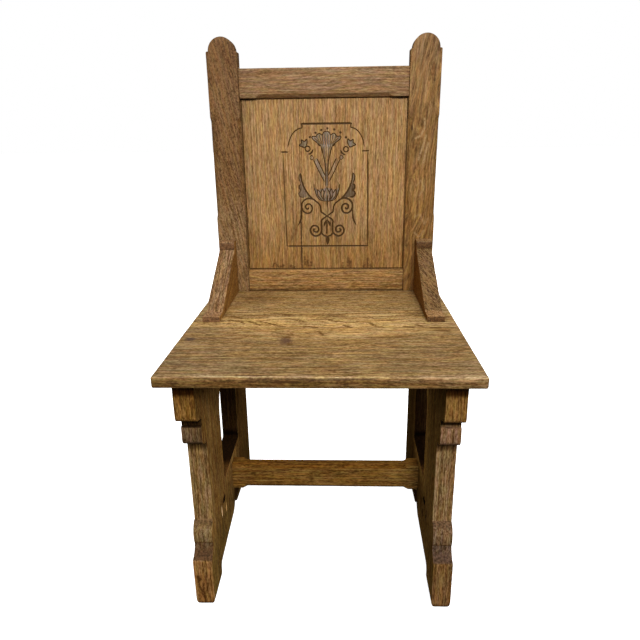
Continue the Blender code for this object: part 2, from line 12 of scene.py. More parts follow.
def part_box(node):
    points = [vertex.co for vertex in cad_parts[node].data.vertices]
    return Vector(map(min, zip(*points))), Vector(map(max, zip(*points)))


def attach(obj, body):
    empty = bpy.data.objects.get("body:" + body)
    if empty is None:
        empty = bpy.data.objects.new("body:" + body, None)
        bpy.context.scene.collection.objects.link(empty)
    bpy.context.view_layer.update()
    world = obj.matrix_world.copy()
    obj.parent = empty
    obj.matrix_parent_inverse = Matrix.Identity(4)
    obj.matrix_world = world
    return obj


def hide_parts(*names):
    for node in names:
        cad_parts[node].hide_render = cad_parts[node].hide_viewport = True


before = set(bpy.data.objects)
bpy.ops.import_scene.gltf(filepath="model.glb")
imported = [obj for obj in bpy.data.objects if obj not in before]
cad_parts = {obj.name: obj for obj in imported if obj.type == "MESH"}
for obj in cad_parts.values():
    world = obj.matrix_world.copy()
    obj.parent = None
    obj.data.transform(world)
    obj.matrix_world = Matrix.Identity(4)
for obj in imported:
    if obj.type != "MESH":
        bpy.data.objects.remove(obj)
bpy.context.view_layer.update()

MM = 0.001
IMAGE_SIZE = 640
UP, DOWN, LEFT, RIGHT, FRONT, BACK = (0, 0, 1), (0, 0, -1), (-1, 0, 0), (1, 0, 0), (0, -1, 0), (0, 1, 0)
AXES = (RIGHT, BACK, UP)

# Camera, as fitted to the photograph
CAMERA_PLACE = (0.0308, -0.9545, 0.7676)
CAMERA_YAW = 0.0375
CAMERA_PITCH = 0.3242
CAMERA_ROLL = -0.0134
FOCAL_PIXELS = 570.77
SENSOR_WIDTH = 36.0
CLIP_START = 0.05


def show(name, data):
    """A new object in the scene."""
    holder = bpy.data.objects.new(name, data)
    bpy.context.scene.collection.objects.link(holder)
    return holder


def make_camera():
    camera = bpy.data.cameras.new("photo_camera")
    camera.sensor_width = SENSOR_WIDTH
    camera.lens = FOCAL_PIXELS * SENSOR_WIDTH / IMAGE_SIZE
    camera.clip_start = CLIP_START
    holder = show("photo_camera", camera)
    turns = ((CAMERA_YAW, "Z"), (math.pi / 2 - CAMERA_PITCH, "X"), (CAMERA_ROLL, "Z"))
    matrix = Matrix.Translation(CAMERA_PLACE)
    for angle, axis in turns:
        matrix = matrix @ Matrix.Rotation(angle, 4, axis)
    holder.matrix_world = matrix
    bpy.context.scene.camera = holder


# Node trees
RAG_SCALE = 260.0
FACING = (0.5, 0.85)


class Nodes:
    """The node tree of a material or a world, with short calls for the nodes that it needs."""

    def __init__(self, owner):
        owner.use_nodes = True
        self.tree = owner.node_tree
        coordinates = self.add("TexCoord", {})
        self.place = coordinates.outputs["Object"]
        self.normal = coordinates.outputs["Normal"]
        self.way = coordinates.outputs["Generated"]
        self.grit = None

    def fill(self, node, values):
        """Sets or links a node's sockets, given by name or number."""
        for key, value in values.items():
            if isinstance(value, bpy.types.NodeSocket):
                self.tree.links.new(value, node.inputs[key])
            else:
                node.inputs[key].default_value = value

    def add(self, kind, values, **settings):
        node = self.tree.nodes.new("ShaderNode" + kind)
        for name, setting in settings.items():
            setattr(node, name, setting)
        self.fill(node, values)
        return node

    def math(self, operation, *values):
        return self.add("Math", dict(enumerate(values)), operation=operation).outputs[0]

    def times(self, first, second):
        return self.math("MULTIPLY", first, second)

    def dot(self, vector, direction):
        values = {0: vector, 1: direction}
        return self.add("VectorMath", values, operation="DOT_PRODUCT").outputs["Value"]

    def along(self, direction):
        """The distance of a point in one direction, in millimetres."""
        return self.dot(self.place, Vector(direction) / MM)

    def side(self, direction, limits=FACING):
        """1 on the faces that look one way and 0 on the others."""
        return self.spread(self.dot(self.normal, direction), *limits)

    def combine(self, *values):
        return self.add("CombineXYZ", dict(enumerate(values))).outputs[0]

    def noise(self, vector, detail=2.0, roughness=0.5):
        values = {"Vector": vector, "Scale": 1.0, "Detail": detail, "Roughness": roughness}
        return self.add("TexNoise", values).outputs["Fac"]

    def rag(self):
        """Fine even noise that makes the borders of marks ragged, made once for each material."""
        if self.grit is None:
            axes = [self.dot(self.place, RAG_SCALE * Vector(axis)) for axis in AXES]
            self.grit = self.noise(self.combine(*axes), 3.0)
        return self.grit

    def spread(self, value, low, high, to_low=0.0, to_high=1.0):
        """Maps low..high to to_low..to_high, clamped and smooth at both ends."""
        ends = {"Value": value, "From Min": low, "From Max": high, "To Min": to_low, "To Max": to_high}
        return self.add("MapRange", ends, interpolation_type="SMOOTHSTEP").outputs["Result"]

    def mix(self, factor, first, second, kind="MIX"):
        values = {0: factor, 6: first, 7: second}
        return self.add("Mix", values, data_type="RGBA", blend_type=kind).outputs[2]

    def ramp(self, value, stops):
        node = self.add("ValToRGB", {0: value})
        elements = node.color_ramp.elements
        while len(elements) < len(stops):
            elements.new(0.5)
        for element, (position, colour) in zip(elements, stops):
            element.position = position
            element.color = colour
        return node.outputs[0]

    def attribute(self, name):
        return self.add("Attribute", {}, attribute_name=name).outputs["Fac"]


def tint(colour, factors):
    return tuple(min(1.0, part * factor) for part, factor in zip(colour, factors)) + (1.0,)


# Oak
@dataclass
class Look:
    """How one piece of oak looks: its middle colour, the run of its grain and how lively it is."""
    tone: tuple
    grain: tuple
    contrast: float = 1.0
    scale: tuple = (1.0, 1.0)
    warp: float = 0.010
    cloud: float = 0.45
    fleck: float = 0.2
    glimmer: float = 0.0
    ring: float = 0.12
    pith: tuple = (0.09, 0.13)
    rough: tuple = (0.62, 0.46)
    shine: float = 0.12
    marks: tuple = ()


# Textures, in cells to the metre along and across the grain, and the weight of the plain ones
BROAD, BROAD_WEIGHT = (9.0, 75.0), 0.34
LONG, LONG_WEIGHT = (7.0, 430.0), 0.36
SHORT, SHORT_WEIGHT = (58.0, 470.0), 0.40
FINE, FINE_WEIGHT = (170.0, 800.0), 0.42
PORE = (70.0, 1100.0)
RAY = (95.0, 190.0)
CLOUD = (5.0, 14.0)
WARP = (7.0, 22.0)
HUE = (20.0, 160.0)
BLUSH = (45.0, 330.0)
SPECK = (260.0, 260.0)
GLIMMER = (170.0, 420.0)
SEED_SHIFTS = (7.3, 3.1, 5.7)
RING_WIDTH = 0.0055
CRISP = (0.34, 0.66)
HALFWAY = (0.36, 0.64)
GLINT_RANGE = (0.52, 0.66)
PORE_RANGE = (0.36, 0.28, 0.0, 0.55)
END_RANGE = (0.35, 0.85)
RUBBED_RANGE = (0.36, 0.62, 0.0, 0.40)
ROUGH_RANGE = (0.2, 0.8)
WARM = (1.04, 1.00, 0.87, 1.0)
COOL = (0.96, 1.00, 1.13, 1.0)
PINK = (1.05, 0.97, 1.04, 1.0)
OLIVE = (0.95, 1.03, 0.94, 1.0)
DEEP = (0.40, 0.34, 0.26)
DARK = (0.70, 0.65, 0.58)
MIDDLE = (1.0, 1.0, 1.0)
PALE = (1.40, 1.47, 1.56)
BLEACHED = (1.85, 2.05, 2.30)
END_GRAIN = ((0.297, 0.279, 0.297), (1.155, 1.085, 1.155))
END_SHARE = 0.75
BUMP = {"Strength": 0.35, "Distance": 0.0005}
BUMP_SHARE = 0.35
DULL = {"rough": (1.0, 0.92), "shine": 0.02}


def grain_axes(nodes, grain):
    """Distances along the grain and on two axes across it."""
    run = Vector(grain).normalized()
    helper = Vector(BACK) if abs(run.y) < 0.8 else Vector(RIGHT)
    first = run.cross(helper).normalized()
    return [nodes.dot(nodes.place, axis) for axis in (run, first, run.cross(first))]


def stretched(nodes, axes, scales, seed):
    """A texture vector stretched along the grain."""
    lengthwise, across = scales
    rows = zip(axes, (lengthwise, across, across), SEED_SHIFTS)
    return nodes.combine(*(nodes.math("MULTIPLY_ADD", axis, scale, seed * shift)
                           for axis, scale, shift in rows))


def warped(nodes, axes, shift, seed):
    """The axes with slow waves across the grain."""
    sway = nodes.noise(stretched(nodes, axes, WARP, seed))
    offset = nodes.math("MULTIPLY_ADD", sway, shift, -shift / 2)
    return [axes[0]] + [nodes.math("ADD", axis, offset) for axis in axes[1:]]


def year_rings(nodes, axes, pith):
    """A wave of rings about a line along the grain."""
    offsets = [nodes.math("ADD", axis, offset) for axis, offset in zip(axes[1:], pith)]
    squares = [nodes.math("POWER", offset, 2.0) for offset in offsets]
    radius = nodes.math("SQRT", nodes.math("ADD", *squares))
    wave = nodes.math("SINE", nodes.times(radius, 2 * math.pi / RING_WIDTH))
    return nodes.math("MULTIPLY_ADD", wave, 0.5, 0.5)


def oak(name, look, seed):
    """Solid oak: streaks, rings, pores and rays, dark end grain, pale worn arrises, and marks of use with
    painted light and shade.
    """
    material = bpy.data.materials.new(name)
    nodes = Nodes(material)
    axes = warped(nodes, grain_axes(nodes, look.grain), look.warp, seed)

    def texture(scales, shift, detail=2.0, roughness=0.5):
        return nodes.noise(stretched(nodes, axes, scales, seed + shift), detail, roughness)

    def crisp(scales, shift):
        """Streaks with clear edges."""
        scales = [own * factor for own, factor in zip(scales, look.scale)]
        return nodes.spread(texture(scales, shift, 2.0, 0.6), *CRISP)

    streak, fine, cloud = crisp(SHORT, 1), crisp(FINE, 2), texture(CLOUD, 4, 3.0)
    layers = ((texture(BROAD, 0), BROAD_WEIGHT), (crisp(LONG, 6), LONG_WEIGHT), (streak, SHORT_WEIGHT),
              (fine, FINE_WEIGHT), (cloud, look.cloud), (year_rings(nodes, axes, look.pith), look.ring),
              (texture(RAY, 3, 1.0), look.fleck))
    value = 0.5
    for layer, weight in layers:
        weight = weight * look.contrast
        value = nodes.math("ADD", value, nodes.math("MULTIPLY_ADD", layer, weight, -0.5 * weight))
    levels = [tint(look.tone, level) for level in (DEEP, DARK, MIDDLE, PALE, BLEACHED)]
    deep, _, _, pale, bleached = levels
    colour = nodes.ramp(value, [(index / 4, level) for index, level in enumerate(levels)])
    for scales, shift, pair in ((HUE, 8, (WARM, COOL)), (BLUSH, 9, (PINK, OLIVE))):
        hue = nodes.mix(nodes.spread(texture(scales, shift), *HALFWAY), *pair)
        colour = nodes.mix(1.0, colour, hue, "MULTIPLY")
    glint = nodes.spread(texture(GLIMMER, 11), *GLINT_RANGE, 0.0, look.glimmer)
    colour = nodes.mix(glint, colour, bleached)
    pore = nodes.spread(texture(PORE, 5, 1.0), *PORE_RANGE)
    colour = nodes.mix(pore, colour, deep)
    speck = nodes.spread(texture(SPECK, 10, 2.0, 0.6), *HALFWAY)
    end_colour = nodes.mix(speck, *(tint(look.tone, level) for level in END_GRAIN))
    across_end = nodes.math("ABSOLUTE", nodes.dot(nodes.normal, Vector(look.grain).normalized()))
    colour = nodes.mix(nodes.times(nodes.spread(across_end, *END_RANGE), END_SHARE), colour, end_colour)
    rubbed = nodes.times(nodes.attribute("arris"), nodes.spread(cloud, *RUBBED_RANGE))
    colour = nodes.mix(rubbed, colour, pale)
    for mark in look.marks:
        colour = mark(nodes, colour)
    height = nodes.math("ADD", nodes.times(streak, BUMP_SHARE), nodes.times(fine, BUMP_SHARE))
    bump = nodes.add("Bump", {**BUMP, "Height": nodes.math("SUBTRACT", height, pore)})
    rough = nodes.spread(value, *ROUGH_RANGE, *look.rough)
    nodes.fill(nodes.tree.nodes["Principled BSDF"],
               {"Base Color": colour, "Roughness": rough, "Specular IOR Level": look.shine,
                "Normal": bump.outputs["Normal"]})
    return material


# Marks of use and painted light and shade, each a function that repaints a colour, with all lengths in
# millimetres
STAIN_AND_LIGHT_FADE = (1.1, 0.2)
SAWN = (0.75, 0.45)
STROKE_START = (-0.15, 0.10)
STROKE_END = (1.15, 0.90)
STROKE_RAG = (0.33, 0.53, 0.35, 1.0)


def painted(share, colour, kind="MULTIPLY"):
    """A mark that multiplies the wood by a colour, or covers it, by the share that a function finds."""
    return lambda nodes, base: nodes.mix(share(nodes), base, (*colour, 1.0), kind)


def stain_and_painted_light(centre, radius, strength, colour, ragged=0.9, kind="MIX"):
    """A soft patch about a point, laid over the wood or multiplied with it; used for real marks and for
    painted shade and highlights.
    """
    def share(nodes):
        squares = []
        for axis, middle, reach in zip(AXES, centre, radius):
            offset = nodes.math("SUBTRACT", nodes.along(Vector(axis) / reach), middle / reach)
            squares.append(nodes.times(offset, offset))
        total = nodes.math("ADD", nodes.math("ADD", *squares[:2]), squares[2])
        rag = nodes.math("MULTIPLY_ADD", nodes.rag(), ragged * 2, -ragged)
        distance = nodes.math("ADD", nodes.math("SQRT", total), rag)
        return nodes.spread(distance, *STAIN_AND_LIGHT_FADE, 0.0, strength)
    return painted(share, colour, kind)


def facing(direction, factors, limits=FACING):
    """A tint on the faces that look one way."""
    return painted(lambda nodes: nodes.side(direction, limits), factors)


def deepening(direction, toward, start, end, factors):
    """A tint on the faces that look one way, growing from start to end in another direction."""
    def share(nodes):
        return nodes.times(nodes.side(direction), nodes.spread(nodes.along(toward), start, end))
    return painted(share, factors)


def edge_zone(start, end, soft, factors, depths=(-1000, -100), blur=10):
    """A tint on the sawn edges of a trestle end, between two heights and two depths."""
    def share(nodes):
        result = nodes.spread(nodes.math("ABSOLUTE", nodes.dot(nodes.normal, RIGHT)), *SAWN)
        for axis, low, high, fade in ((UP, start, end, soft), (BACK, *depths, blur)):
            value = nodes.along(axis)
            result = nodes.times(result, nodes.spread(value, low - fade, low + fade))
            result = nodes.times(result, nodes.spread(value, high + fade, high - fade))
        return result
    return painted(share, factors)


def band(direction, start, end, factors):
    """A tint that grows from start to end along one direction."""
    return painted(lambda nodes: nodes.spread(nodes.along(direction), start, end), factors)


def stroke(points, half, strength, colour, plane=(RIGHT, BACK), side=None):
    """A soft streak along a broken line on a plane, on all faces or on one side."""
    def share(nodes):
        total = 0.0
        first, second = (Vector(axis) for axis in plane)
        corners = [first * u + second * v for u, v in points]
        for start, end in zip(corners, corners[1:]):
            run = end - start
            across = first.cross(second).cross(run).normalized()
            off = nodes.math("ABSOLUTE", nodes.math("SUBTRACT", nodes.along(across), across.dot(start)))
            pace = run / run.length_squared
            along = nodes.math("SUBTRACT", nodes.along(pace), pace.dot(start))
            part = nodes.times(*(nodes.spread(along, *limits) for limits in (STROKE_START, STROKE_END)))
            total = nodes.math("MAXIMUM", total, nodes.times(part, nodes.spread(off, half, 0.0)))
        total = nodes.times(total, nodes.spread(nodes.rag(), *STROKE_RAG))
        if side:
            total = nodes.times(total, nodes.side(side))
        return nodes.times(total, strength)
    return painted(share, colour, "MIX")


def front_strokes(lines, half, strength, colour):
    """Streaks on the faces that look forwards."""
    return tuple(stroke(line, half, strength, colour, (RIGHT, UP), FRONT) for line in lines)


GREY_WASH = (0.71, 0.94, 1.68, 1.0)
CUT_BROWN = (0.050, 0.023, 0.004, 1.0)
CUT_RANGE = (0.0, 0.34, 0.0, 0.97)


def carved(nodes, base):
    """Dirt and wax in the ornament: a grey wash in its hollows, dark brown in its cuts."""
    washed = nodes.mix(nodes.attribute("wash"), base, GREY_WASH, "MULTIPLY")
    return nodes.mix(nodes.spread(nodes.attribute("cut"), *CUT_RANGE), washed, CUT_BROWN)


# Refined pieces
CELL = 0.014
FLAT_WEAR = 0.00018
ARRIS_WEAR = 0.0007
SHARP = math.radians(28)
FLAT = math.radians(1.0)
CREASE = math.radians(32)
CARVED_CREASE = math.radians(20)
FOOT_ROUND = 0.011
FOOT_CUTS = (0.0012, 0.0035, 0.0065, FOOT_ROUND)
FOOT_SHARE = 0.85
WEAR_SCALE = 22.0
RUB_SCALE = 55.0
WEAR_STEPS = (1.7, 2.3, 3.1)


def clean_mesh(node):
    """The node's solid as a mesh with its flat faces whole again."""
    bm = bmesh.new()
    bm.from_mesh(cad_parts[node].data)
    bmesh.ops.remove_doubles(bm, verts=bm.verts, dist=2e-6)
    bmesh.ops.dissolve_limit(bm, angle_limit=FLAT, verts=bm.verts, edges=bm.edges)
    return bm


def slice_at(bm, point, normal):
    parts = bm.verts[:] + bm.edges[:] + bm.faces[:]
    bmesh.ops.bisect_plane(bm, geom=parts, dist=1e-6, plane_co=point, plane_no=normal)


def round_feet(bm, low_x, high_x):
    """Draws the feet's lower corners in, worn round by dragging."""
    for height in FOOT_CUTS:
        slice_at(bm, (0, 0, height), UP)
    middle = (low_x + high_x) / 2
    for vert in bm.verts:
        if vert.co.z < FOOT_ROUND:
            drop = 1 - vert.co.z / FOOT_ROUND
            inward = FOOT_ROUND * (1 - math.sqrt(1 - drop ** 2)) * FOOT_SHARE
            vert.co.x += math.copysign(min(inward, abs(vert.co.x - middle)), middle - vert.co.x)


HEEL_DEPTH = -0.1785
HEEL_HEIGHT = 0.354
HEEL_DROP = 0.007
HEEL_REACH = 3e-4


def slope_blocks(bm):
    """Draws the underside of a trestle's upper block down towards its neck."""
    for vert in bm.verts:
        if max(abs(vert.co.y - HEEL_DEPTH), abs(vert.co.z - HEEL_HEIGHT)) < HEEL_REACH:
            vert.co.z -= HEEL_DROP


LEFT_SLITS = (((-0.1015, -0.0885), (0.097, 0.124), (0.002, 0.006)),
              ((-0.0660, -0.0540), (0.078, 0.102), (0.006, 0.010)))


def raise_slits(bm):
    """Lengthens the two slits of the left trestle end upwards."""
    for depths, heights, (bottom, top) in LEFT_SLITS:
        for vert in bm.verts:
            if depths[0] < vert.co.y < depths[1] and heights[0] < vert.co.z < heights[1]:
                vert.co.z += top if vert.co.z > sum(heights) / 2 else bottom


def ease_arrises(bm, width):
    """Rounds the sharp outer edges and marks the new faces as rubbed."""
    layer = bm.faces.layers.float.new("arris")
    sharp = [edge for edge in bm.edges if edge.is_manifold and edge.is_convex
             and edge.calc_face_angle() > SHARP]
    made = bmesh.ops.bevel(bm, geom=sharp, offset=width, offset_type="OFFSET", segments=2, profile=0.55,
                           affect="EDGES", clamp_overlap=True)
    for face in made["faces"]:
        face[layer] = 1.0
    return layer


def slice_cells(bm):
    """Cuts the faces into cells, so that wear can move them."""
    for axis in range(3):
        values = [vert.co[axis] for vert in bm.verts]
        low, high = min(values), max(values)
        count = int((high - low) / CELL)
        for step in range(1, count):
            point, normal = Vector(), Vector()
            point[axis] = low + (high - low) * step / count
            normal[axis] = 1.0
            slice_at(bm, point, normal)


def wear(bm, layer, seed):
    """Moves points inwards: a little on flats, more and unevenly on arrises."""
    bm.normal_update()
    shift = Vector([seed * step for step in WEAR_STEPS])
    moves = []
    for vert in bm.verts:
        broad = 0.5 + 0.5 * noise.noise(vert.co * WEAR_SCALE + shift)
        rubbed = max((face[layer] for face in vert.link_faces), default=0.0)
        close = max(0.0, noise.noise(vert.co * RUB_SCALE - shift))
        moves.append(vert.normal * -(FLAT_WEAR * broad + ARRIS_WEAR * rubbed * close * broad))
    for vert, move in zip(bm.verts, moves):
        vert.co += move


def add_piece(name, bm, material, slot, *nodes):
    mesh = bpy.data.meshes.new(name)
    bm.to_mesh(mesh)
    bm.free()
    mesh.shade_smooth()
    mesh.set_sharp_from_angle(angle=CREASE)
    mesh.materials.append(material)
    piece = show(name, mesh)
    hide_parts(*nodes)
    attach(piece, "root")
    return piece


def worn_piece(node, material, slot, width, seed):
    bm = clean_mesh(node)
    if "trestle" in node:
        slope_blocks(bm)
    if node == "left_trestle_end":
        raise_slits(bm)
    layer = ease_arrises(bm, width)
    if "trestle" in node:
        low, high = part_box(node)
        round_feet(bm, low.x, high.x)
    slice_cells(bm)
    wear(bm, layer, seed)
    return add_piece("worn_" + node, bm, material, slot, node)


# The incised ornament, in millimetres from its axis and from the cartouche's bottom line
ORNAMENT_AXIS = 0.004
ORNAMENT_BASE = 0.535
SMOOTH_STEPS = 5
LINE_HALF = 1.95
STRAIGHT_STEPS = 24
TAPER_RATE = 12
TAPER_LEAST = 0.5
LEAF_LEAST = 0.15
LEAF_POWER = 0.8
LINE_DEPTH = 1.0
VEIN_DEPTH = 0.8
HOLLOW_DEPTH = 0.4
DOT_RADIUS = 2.9
DOT_HALF = 0.05
DOT_DARK = 0.90


class Cut:
    """One V cut: a centre line with a half width at each point, a depth and a darkness."""

    def __init__(self, points, half_widths, depth, dark, rim=None):
        self.points = np.array(points, float)
        self.half = np.array(half_widths, float)
        self.depth = depth
        self.dark = dark
        self.rim = rim

    def borders(self):
        if self.rim:
            return [self.rim]
        along = np.gradient(self.points, axis=0)
        along /= np.maximum(np.linalg.norm(along, axis=1, keepdims=True), 1e-9)
        across = np.stack([-along[:, 1], along[:, 0]], 1) * self.half[:, None]
        lines = [self.points + across, self.points - across]
        for end, outward in ((0, -1), (-1, 1)):
            beyond = self.points[end] + outward * along[end] * self.half[end]
            lines.append(np.array([beyond - across[end], beyond, beyond + across[end]]))
        return lines


def smooth(points):
    """A smooth line through the given points."""
    points = [np.array(point, float) for point in points]
    padded = [2 * points[0] - points[1]] + points + [2 * points[-1] - points[-2]]
    line = []
    for a, b, c, d in zip(padded, padded[1:], padded[2:], padded[3:]):
        for step in range(SMOOTH_STEPS):
            t = step / SMOOTH_STEPS
            line.append(0.5 * (2 * b + (c - a) * t + (2 * a - 5 * b + 4 * c - d) * t ** 2
                               + (3 * b - a - 3 * c + d) * t ** 3))
    return line + [points[-1]]


def cut_line(points, half=LINE_HALF, dark=1.0, depth=LINE_DEPTH, curved=True):
    """A cut of even width with tapered ends."""
    if len(points) == 2:
        line = np.linspace(*points, STRAIGHT_STEPS)
    else:
        line = smooth(points) if curved else np.array(points, float)
    ends = np.linspace(0, 1, len(line))
    taper = np.clip(np.minimum(ends, 1 - ends) * TAPER_RATE + TAPER_LEAST, 0, 1)
    return Cut(line, half * taper, depth, dark)


def leaf_cut(points, half, dark=1.0, swell=0.5):
    """A leaf-shaped cut, widest part of the way along its line."""
    line = smooth(points)
    t = np.linspace(0, 1, len(line))
    shape = np.sin(np.pi * t ** (math.log(0.5) / math.log(swell))) ** LEAF_POWER
    return Cut(line, np.maximum(half * shape, LEAF_LEAST), LINE_DEPTH, dark)


def ring_points(centre, radius, start=0, end=360, steps=24):
    angles = np.radians(np.linspace(start, end, steps + 1))
    return [(centre[0] + radius * math.cos(a), centre[1] + radius * math.sin(a)) for a in angles]


def dot_cut(u, v):
    """One round pricked dot."""
    rim = ring_points((u, v), DOT_RADIUS, steps=12)
    return Cut([(u - DOT_HALF, v), (u + DOT_HALF, v)], [DOT_RADIUS] * 2, LINE_DEPTH, DOT_DARK, rim)


def flip(points, side):
    return [(side * u, v) for u, v in points]


CORNER_ARC = ring_points((0, 0), 1, 88, 11, 12)
CARTOUCHE_DROP = [(48.5, 241), (47.6, 236), (48.3, 233)]
CARTOUCHE_STEP = {-1: [(77.5, 188.5), (89, 188.5)], 1: [(71, 189), (83.5, 189)]}
SIDE_DARK = {-1: 0.34, 1: 0.44}
STEP_DARK = {-1: 1.0, 1: 0.55}
ARC_WIDTH = {-1: 29.3, 1: 27.4}
ARC_HEIGHT = 44
ARC_CENTRE = (47.5, 189)
CARTOUCHE_SIDE = {-1: [(86.5, 185.5), (85.3, 90), (84, 0)], 1: [(81.5, 185.5), (82.8, 90), (84, 0)]}
LILY_FAN = [(0, 226.5), (5, 225), (8.5, 219.5), (13, 222.6), (18, 221), (20.5, 217), (28, 217),
            (26.5, 211.5), (15, 203), (11.2, 198.5)]
TUBE_SIDE = [(11.2, 198.5), (9, 190), (5.6, 178), (3.0, 163), (2.3, 141), (2.0, 121)]
LILY_VEINS = ([(8.5, 219.5), (7.4, 211), (6, 202)], [(20, 217), (15.5, 210), (10, 202)],
              [(13.5, 220), (11.5, 211), (8, 201)], [(2.5, 223), (2.4, 212), (2.2, 202)],
              [(24.5, 214.5), (18, 209), (12.5, 203)])
TUBE_VEINS = ([(5.8, 198), (4.2, 185), (2.4, 170), (1.0, 150)],
              [(8.6, 196), (6.4, 184), (4.0, 170), (1.8, 146)])
SEPAL = [(11.2, 198.5), (15, 200.5), (17.5, 203.5)]
BUD_RING = {-1: (37.4, 194.2), 1: (38.5, 192.5)}
TREFOIL_SHIFT = {-1: -3.0, 1: 0.5}
BUD_RING_RADIUS = 4.9
TREFOIL = [(43, 199.5), (41, 206), (42, 212), (46.5, 208), (52, 211), (52.3, 205), (57, 201), (52, 198.5),
           (46, 196.5)]
COLLAR_RADIUS = 10.5
BEAD = [(25.5, 176.8), (28.5, 181), (31.6, 180.2), (32.5, 175.8), (28.5, 173.2)]
STEM_INNER = [(19, 175.5), (13.4, 164), (8, 152.5), (3.5, 143)]
STEM_OUTER = [(26.4, 173.5), (18.7, 157), (10.5, 141.2), (5, 131)]
LOTUS_OUTER = [(0, 91.6), (11, 93.2), (17.6, 97.6), (21.6, 105), (23.6, 111.5), (25.6, 118.5),
               (25.4, 125.5)]
LOTUS_PETALS = ([(4.5, 94), (7, 103), (0, 120)], [(6.5, 94.5), (12, 104), (9.8, 117)],
                [(11, 95), (18.5, 104), (18.8, 115.5)], [(5.6, 110), (7.6, 114), (9.8, 117)],
                [(13, 108), (15.6, 112.5), (18.8, 115.5)])
BRANCH = [(0, 61.6), (8.2, 67.6), (11.8, 70), (12.8, 75), (13.9, 82), (17.5, 87.6), (23.8, 92.8),
          (30.8, 98.3), (37.6, 106), (43.2, 114.5), (47.8, 124), (50.4, 133), (51.7, 141), (52.4, 147)]
WING_TIP = [(53.4, 147.5), (56.2, 140.5), (54.6, 131.8), (52.4, 126)]
WING_LOBES = [(52.4, 126), (56.2, 122.2), (55.4, 116), (52.5, 114), (57, 108), (54.4, 101), (47, 99.5)]
SPIRAL = [(26.3, 95.2), (35.4, 97.4), (43, 95.9), (48.6, 91.4), (51.4, 85.8), (51.5, 79.3), (48.6, 72.2),
          (41.2, 67.5), (33.6, 69.6), (30.2, 76.3), (31.5, 83), (36.6, 86.3), (41.6, 84.9), (43.6, 81.3),
          (42.3, 77.2), (38.7, 76.2), (37.4, 79.2)]
SPIRAL_HALF = {-1: 2.0, 1: 2.3}
TAIL = [(53.8, 99.7), (52.8, 88), (52.2, 66), (54.4, 53.5), (60.6, 41.8)]
LYRE = [(0, 61.6), (10.8, 53.8), (11.5, 47), (11.4, 37), (12, 28.6), (17.2, 22.6), (24.9, 20.6),
        (32.2, 25.6), (34.6, 33.2), (31.1, 40.4), (25, 42.2), (19.1, 39.4), (17.8, 33.2), (20.8, 29),
        (26.4, 30.2), (27.9, 34.2), (24.8, 35.6)]
ARROW = [(-0.4, 55), (4.4, 47.5), (6.2, 40.5)]
LYRE_FOOT = [(12, 28), (7.8, 22.4), (0.4, 19.7)]
DOTS = ((-32.5, 216.2), (-21, 224), (-10.1, 229), (2, 232), (15.4, 229.8), (27.6, 224.2), (38.2, 214.8))
FAINT = {-1: 0.30, 1: 1.0}
LOTUS_DARK = {-1: 0.58, 1: 1.0}
STEM_WASH = {-1: 0.85, 1: 0.35}
LOBE_DARK = {-1: 0.15, 1: 0.22}
LILY_RIDGES = ([(5.2, 221.5), (4.6, 212), (3.6, 203)], [(11, 219.5), (9.4, 211.5), (7, 203)],
               [(17, 218), (13.4, 210.5), (9, 203.5)], [(22.5, 215), (17, 209.5), (11.3, 203)],
               [(2.6, 198), (2.0, 184), (0.9, 166)], [(7.2, 196), (5.4, 184), (3.2, 168)])
LOTUS_RIDGES = ([(3, 98), (3.4, 104), (1.5, 112)], [(8.6, 100), (9.4, 106), (9, 112)],
                [(14.6, 100), (16.6, 106), (17, 111)])
LOTUS_RIDGE = {-1: 1.2, 1: 0.7}


def cartouche(side):
    (middle, base), wide = ARC_CENTRE, ARC_WIDTH[side]
    arc = [(middle + wide * u, base + ARC_HEIGHT * v) for u, v in CORNER_ARC]
    return [cut_line(CARTOUCHE_DROP, dark=0.42), cut_line(arc, 1.7, 0.46, curved=False),
            cut_line(CARTOUCHE_STEP[side], 1.8, STEP_DARK[side]),
            cut_line(CARTOUCHE_SIDE[side], 2.2, SIDE_DARK[side])]


def lily():
    cuts = [cut_line(LILY_FAN, 1.35, 0.5), cut_line(TUBE_SIDE, 1.3, 0.5)]
    cuts += [cut_line(vein, 1.0, 0.34, VEIN_DEPTH) for vein in LILY_VEINS + TUBE_VEINS]
    return cuts + [leaf_cut(SEPAL, 1.4)]


def trefoil(side):
    """The little star over a side bud's ring."""
    return [(u + TREFOIL_SHIFT[side], v) for u, v in TREFOIL]


def side_bud(side):
    star = trefoil(side)
    collar = ring_points(BUD_RING[side], COLLAR_RADIUS, 182, 268, 10)
    ring = ring_points(BUD_RING[side], BUD_RING_RADIUS)
    return [cut_line(STEM_INNER, 1.3, 0.7), cut_line(STEM_OUTER, 1.3, 0.7),
            cut_line(BEAD + BEAD[:1], 0.9, 0.6), leaf_cut(collar, 2.2),
            cut_line(ring, 1.5, curved=False), cut_line(star + star[:1], 1.4, 0.7)]


def lotus(side):
    return [cut_line(line, 1.3, LOTUS_DARK[side]) for line in (LOTUS_OUTER, *LOTUS_PETALS)]


def wing(side):
    return [cut_line(BRANCH), leaf_cut(WING_TIP, 1.9, FAINT[side]), cut_line(WING_LOBES, 2.1, FAINT[side]),
            cut_line(SPIRAL, SPIRAL_HALF[side]), leaf_cut(TAIL, 2.2, swell=0.72)]


def lyre():
    return [cut_line(LYRE, 2.3), cut_line(LYRE_FOOT, 2.1), leaf_cut(ARROW, 2.7)]


